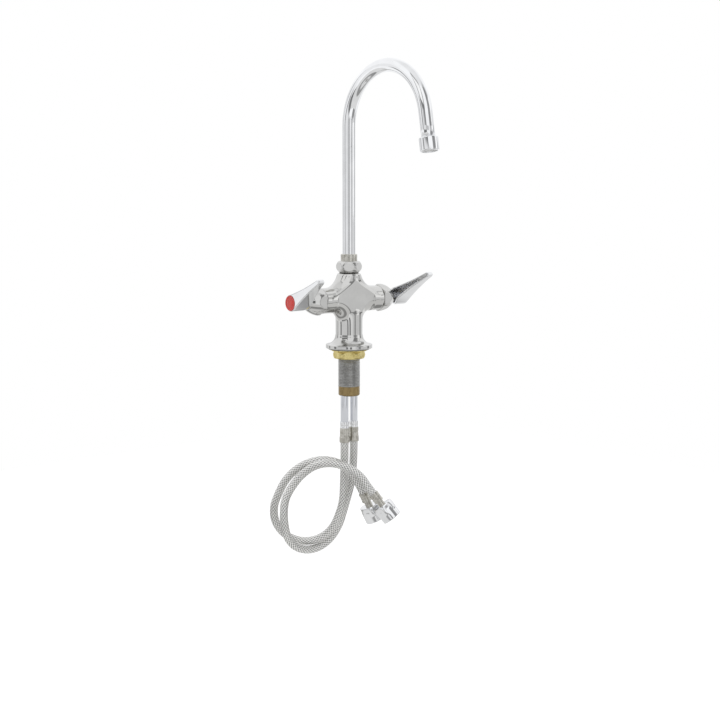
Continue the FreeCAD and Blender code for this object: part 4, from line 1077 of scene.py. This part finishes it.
def makeSpout():
    size = SimpleNamespace(**spout)
    stations = spoutLine()
    walls = [(*station, size.radius) for station in stations]
    walls += [(*station, size.bore) for station in reversed(stations)]
    around = size.around
    angles = np.arange(around) / around * 2 * math.pi
    verts = np.zeros((around, len(walls), 3))
    for index, (depth, height, turn, radius) in enumerate(walls):
        verts[:, index, 0] = radius * np.cos(angles)
        verts[:, index, 1] = depth + radius * np.sin(angles) * math.cos(turn)
        verts[:, index, 2] = height + radius * np.sin(angles) * math.sin(turn)
    mesh = (verts.reshape(-1, 3) * mm, gridFaces(around, len(walls)))
    makePiece("spout_tube", mesh, name="gooseneck")
    makePiece("spout_ferrule", latheMesh(size.ferrule, 0.25))
    nut = SimpleNamespace(**spoutNut)
    bores = [boreCut(nut.threadRadius, 80, nut.top - nut.lip), boreCut(nut.mouthRadius, 100, 115)]
    mesh = castMesh(nutField(spoutNut, bores), castBox(17.5, 17.5, 92.2, 108.1), spoutNut)
    makePiece("spout_nut", mesh, nutTurn)


def makeOutlet():
    matrix = frameAt(outlet["place"], outlet["back"], (0, 1, 0))
    makePiece("outlet_housing", latheMesh(outlet["profile"], 0.5), matrix)


makeSpout()
makeOutlet()
print("spout made")


# ---- stage, light and the CAD nodes' finishes
studio = dict(
    floorHeight=-0.30, floorReach=0.9,
    floorWhite=0.35,  # what the camera sees on top of the matte floor
    floorMatte=0.8,
    mirrorPale=0.80,  # the floor as the metal mirrors it, and the dark ring in it
    mirrorRing=0.34,
    ringStart=(0.15, 0.25), ringEnd=(0.36, 0.43),
    skyLevel=0.92,
    bandLevel=1.1, topLevel=0.95, upperFade=(0.17, 0.30),
    topFade=(0.78, 0.92),
    roomTint=(0.98, 0.985, 1.0),
    behind=-129.2,  # compass direction of the camera's side, seen from the faucet
)
lamps = {
    "keyLamp": {"place": (-1.3, -0.4, 1.3), "size": (0.9, 0.9), "power": 2.2},
    "fillLamp": {"place": (1.2, -1.2, 0.7), "size": (0.7, 1.2), "power": 1.1},
}
lampAim = (0, 0, 0.1)
# level of light round the studio, from one direction to another, against the camera's side
studioBands = [
    (-180, -128, 0.76), (-128, -116, 0.90), (-116, -108, 0.26),
    (-108, -79, 0.90), (-79, -66, 0.26), (-66, -14, 0.80), (-14, -5, 0.22), (-5, 5, 0.86),
    (5, 14, 0.16), (14, 32, 0.95), (32, 48, 0.76), (48, 60, 0.36), (60, 104, 0.76),
    (104, 116, 0.2), (116, 180, 0.84),
]
studioUpper = [
    (-180, -62, 1.0), (-62, -12, 0.2), (-12, 40, 1.0), (40, 84, 0.28), (84, 104, 0.69), (104, 180, 1.0),
]


def makeStage():
    tree = ShaderTree("paleFloor")
    place = tree.place()
    distance = tree.add("VectorMath", [place], operation="LENGTH").out("Value")
    ring = distance.between(*studio["ringStart"]) * (1 - distance.between(*studio["ringEnd"]))
    tint = tree.blend(ring, (studio["mirrorPale"],) * 3, (studio["mirrorRing"],) * 3)
    mirrored = tree.add("Emission", [tint, 1.0])
    matte = tree.add("BsdfDiffuse", [(studio["floorMatte"],) * 3])
    paper = tree.add("Emission", [(1, 1, 1), studio["floorWhite"]])
    paper = tree.add("AddShader", [paper, matte])
    rays = tree.add("LightPath")
    mixed = tree.add("MixShader", [rays, matte, paper])
    tree.show(tree.add("MixShader", [tree.mirrorRays(rays), mixed, mirrored]))
    mesh = bpy.data.meshes.new("floor")
    reach = studio["floorReach"]
    corners = [(-reach, -reach, 0), (reach, -reach, 0), (reach, reach, 0), (-reach, reach, 0)]
    mesh.from_pydata(corners, [], [(0, 1, 2, 3)])
    mesh.materials.append(tree.material)
    floor = newObject("floor", mesh)
    floor.location.z = studio["floorHeight"]


def bandRamp(tree, bands, turn):
    # one level after another round the studio, each softened by a degree at its ends
    ramp = tree.add("ValToRGB", [turn])
    stops = ramp.socket.node.color_ramp.elements
    edges = [(edge, level) for start, end, level in bands for edge in (start + 1, end - 1)]
    while len(stops) < len(edges):
        stops.new(0.5)
    for stop, (edge, level) in zip(stops, edges):
        stop.position = (edge + 180) / 360
        stop.color = (level, level, level, 1.0)
    return tree.add("RGBToBW", [ramp]) * studio["bandLevel"]


def makeSky():
    world = bpy.data.worlds.new("studioSky")
    bpy.context.scene.world = world
    world.use_nodes = True
    tree = ShaderTree("studioSkyTree")
    bpy.data.materials.remove(tree.material)
    tree.nodes = world.node_tree.nodes
    tree.links = world.node_tree.links
    tree.nodes.clear()
    tree.output = tree.nodes.new("ShaderNodeOutputWorld")
    across, ahead, up = tree.split(tree.add("TexCoord").out("Generated"))
    # soft boxes and dark flags round the faucet, seen only in its reflections
    angle = (ahead.math("ARCTAN2", across) * (180 / math.pi) + (180 - studio["behind"])) / 360
    level, upper = [bandRamp(tree, bands, angle.math("FRACT")) for bands in (studioBands, studioUpper)]
    height = up.math("ABSOLUTE")
    level = level + (upper - level) * height.between(*studio["upperFade"])
    light = level + (studio["topLevel"] - level) * height.between(*studio["topFade"])
    rays = tree.add("LightPath")
    white = tree.add("Background", [(1, 1, 1), 1.0])
    soft = tree.add("Background", [(1, 1, 1), studio["skyLevel"]])
    room = tree.add("Background", [studio["roomTint"], light])
    mixed = tree.add("MixShader", [tree.mirrorRays(rays), soft, room])
    tree.show(tree.add("MixShader", [rays, mixed, white]))


def makeLamp(name, place, size, power):
    data = bpy.data.lights.new(name, "AREA")
    data.shape = "RECTANGLE"
    data.size, data.size_y = size
    data.energy = power
    lamp = newObject(name, data)
    lamp.location = place
    lamp.rotation_euler = (Vector(lampAim) - Vector(place)).to_track_quat("-Z", "Y").to_euler()
    lamp.visible_camera = False


makeStage()
makeSky()
for name, values in lamps.items():
    makeLamp(name, **values)
bpy.context.scene.view_settings.view_transform = "Standard"

for node, entry in recordOf.items():
    nodes[node].data.materials.clear()
    nodes[node].data.materials.append(slotFinishes[entry["material_slot"]])
print("stage and light set")
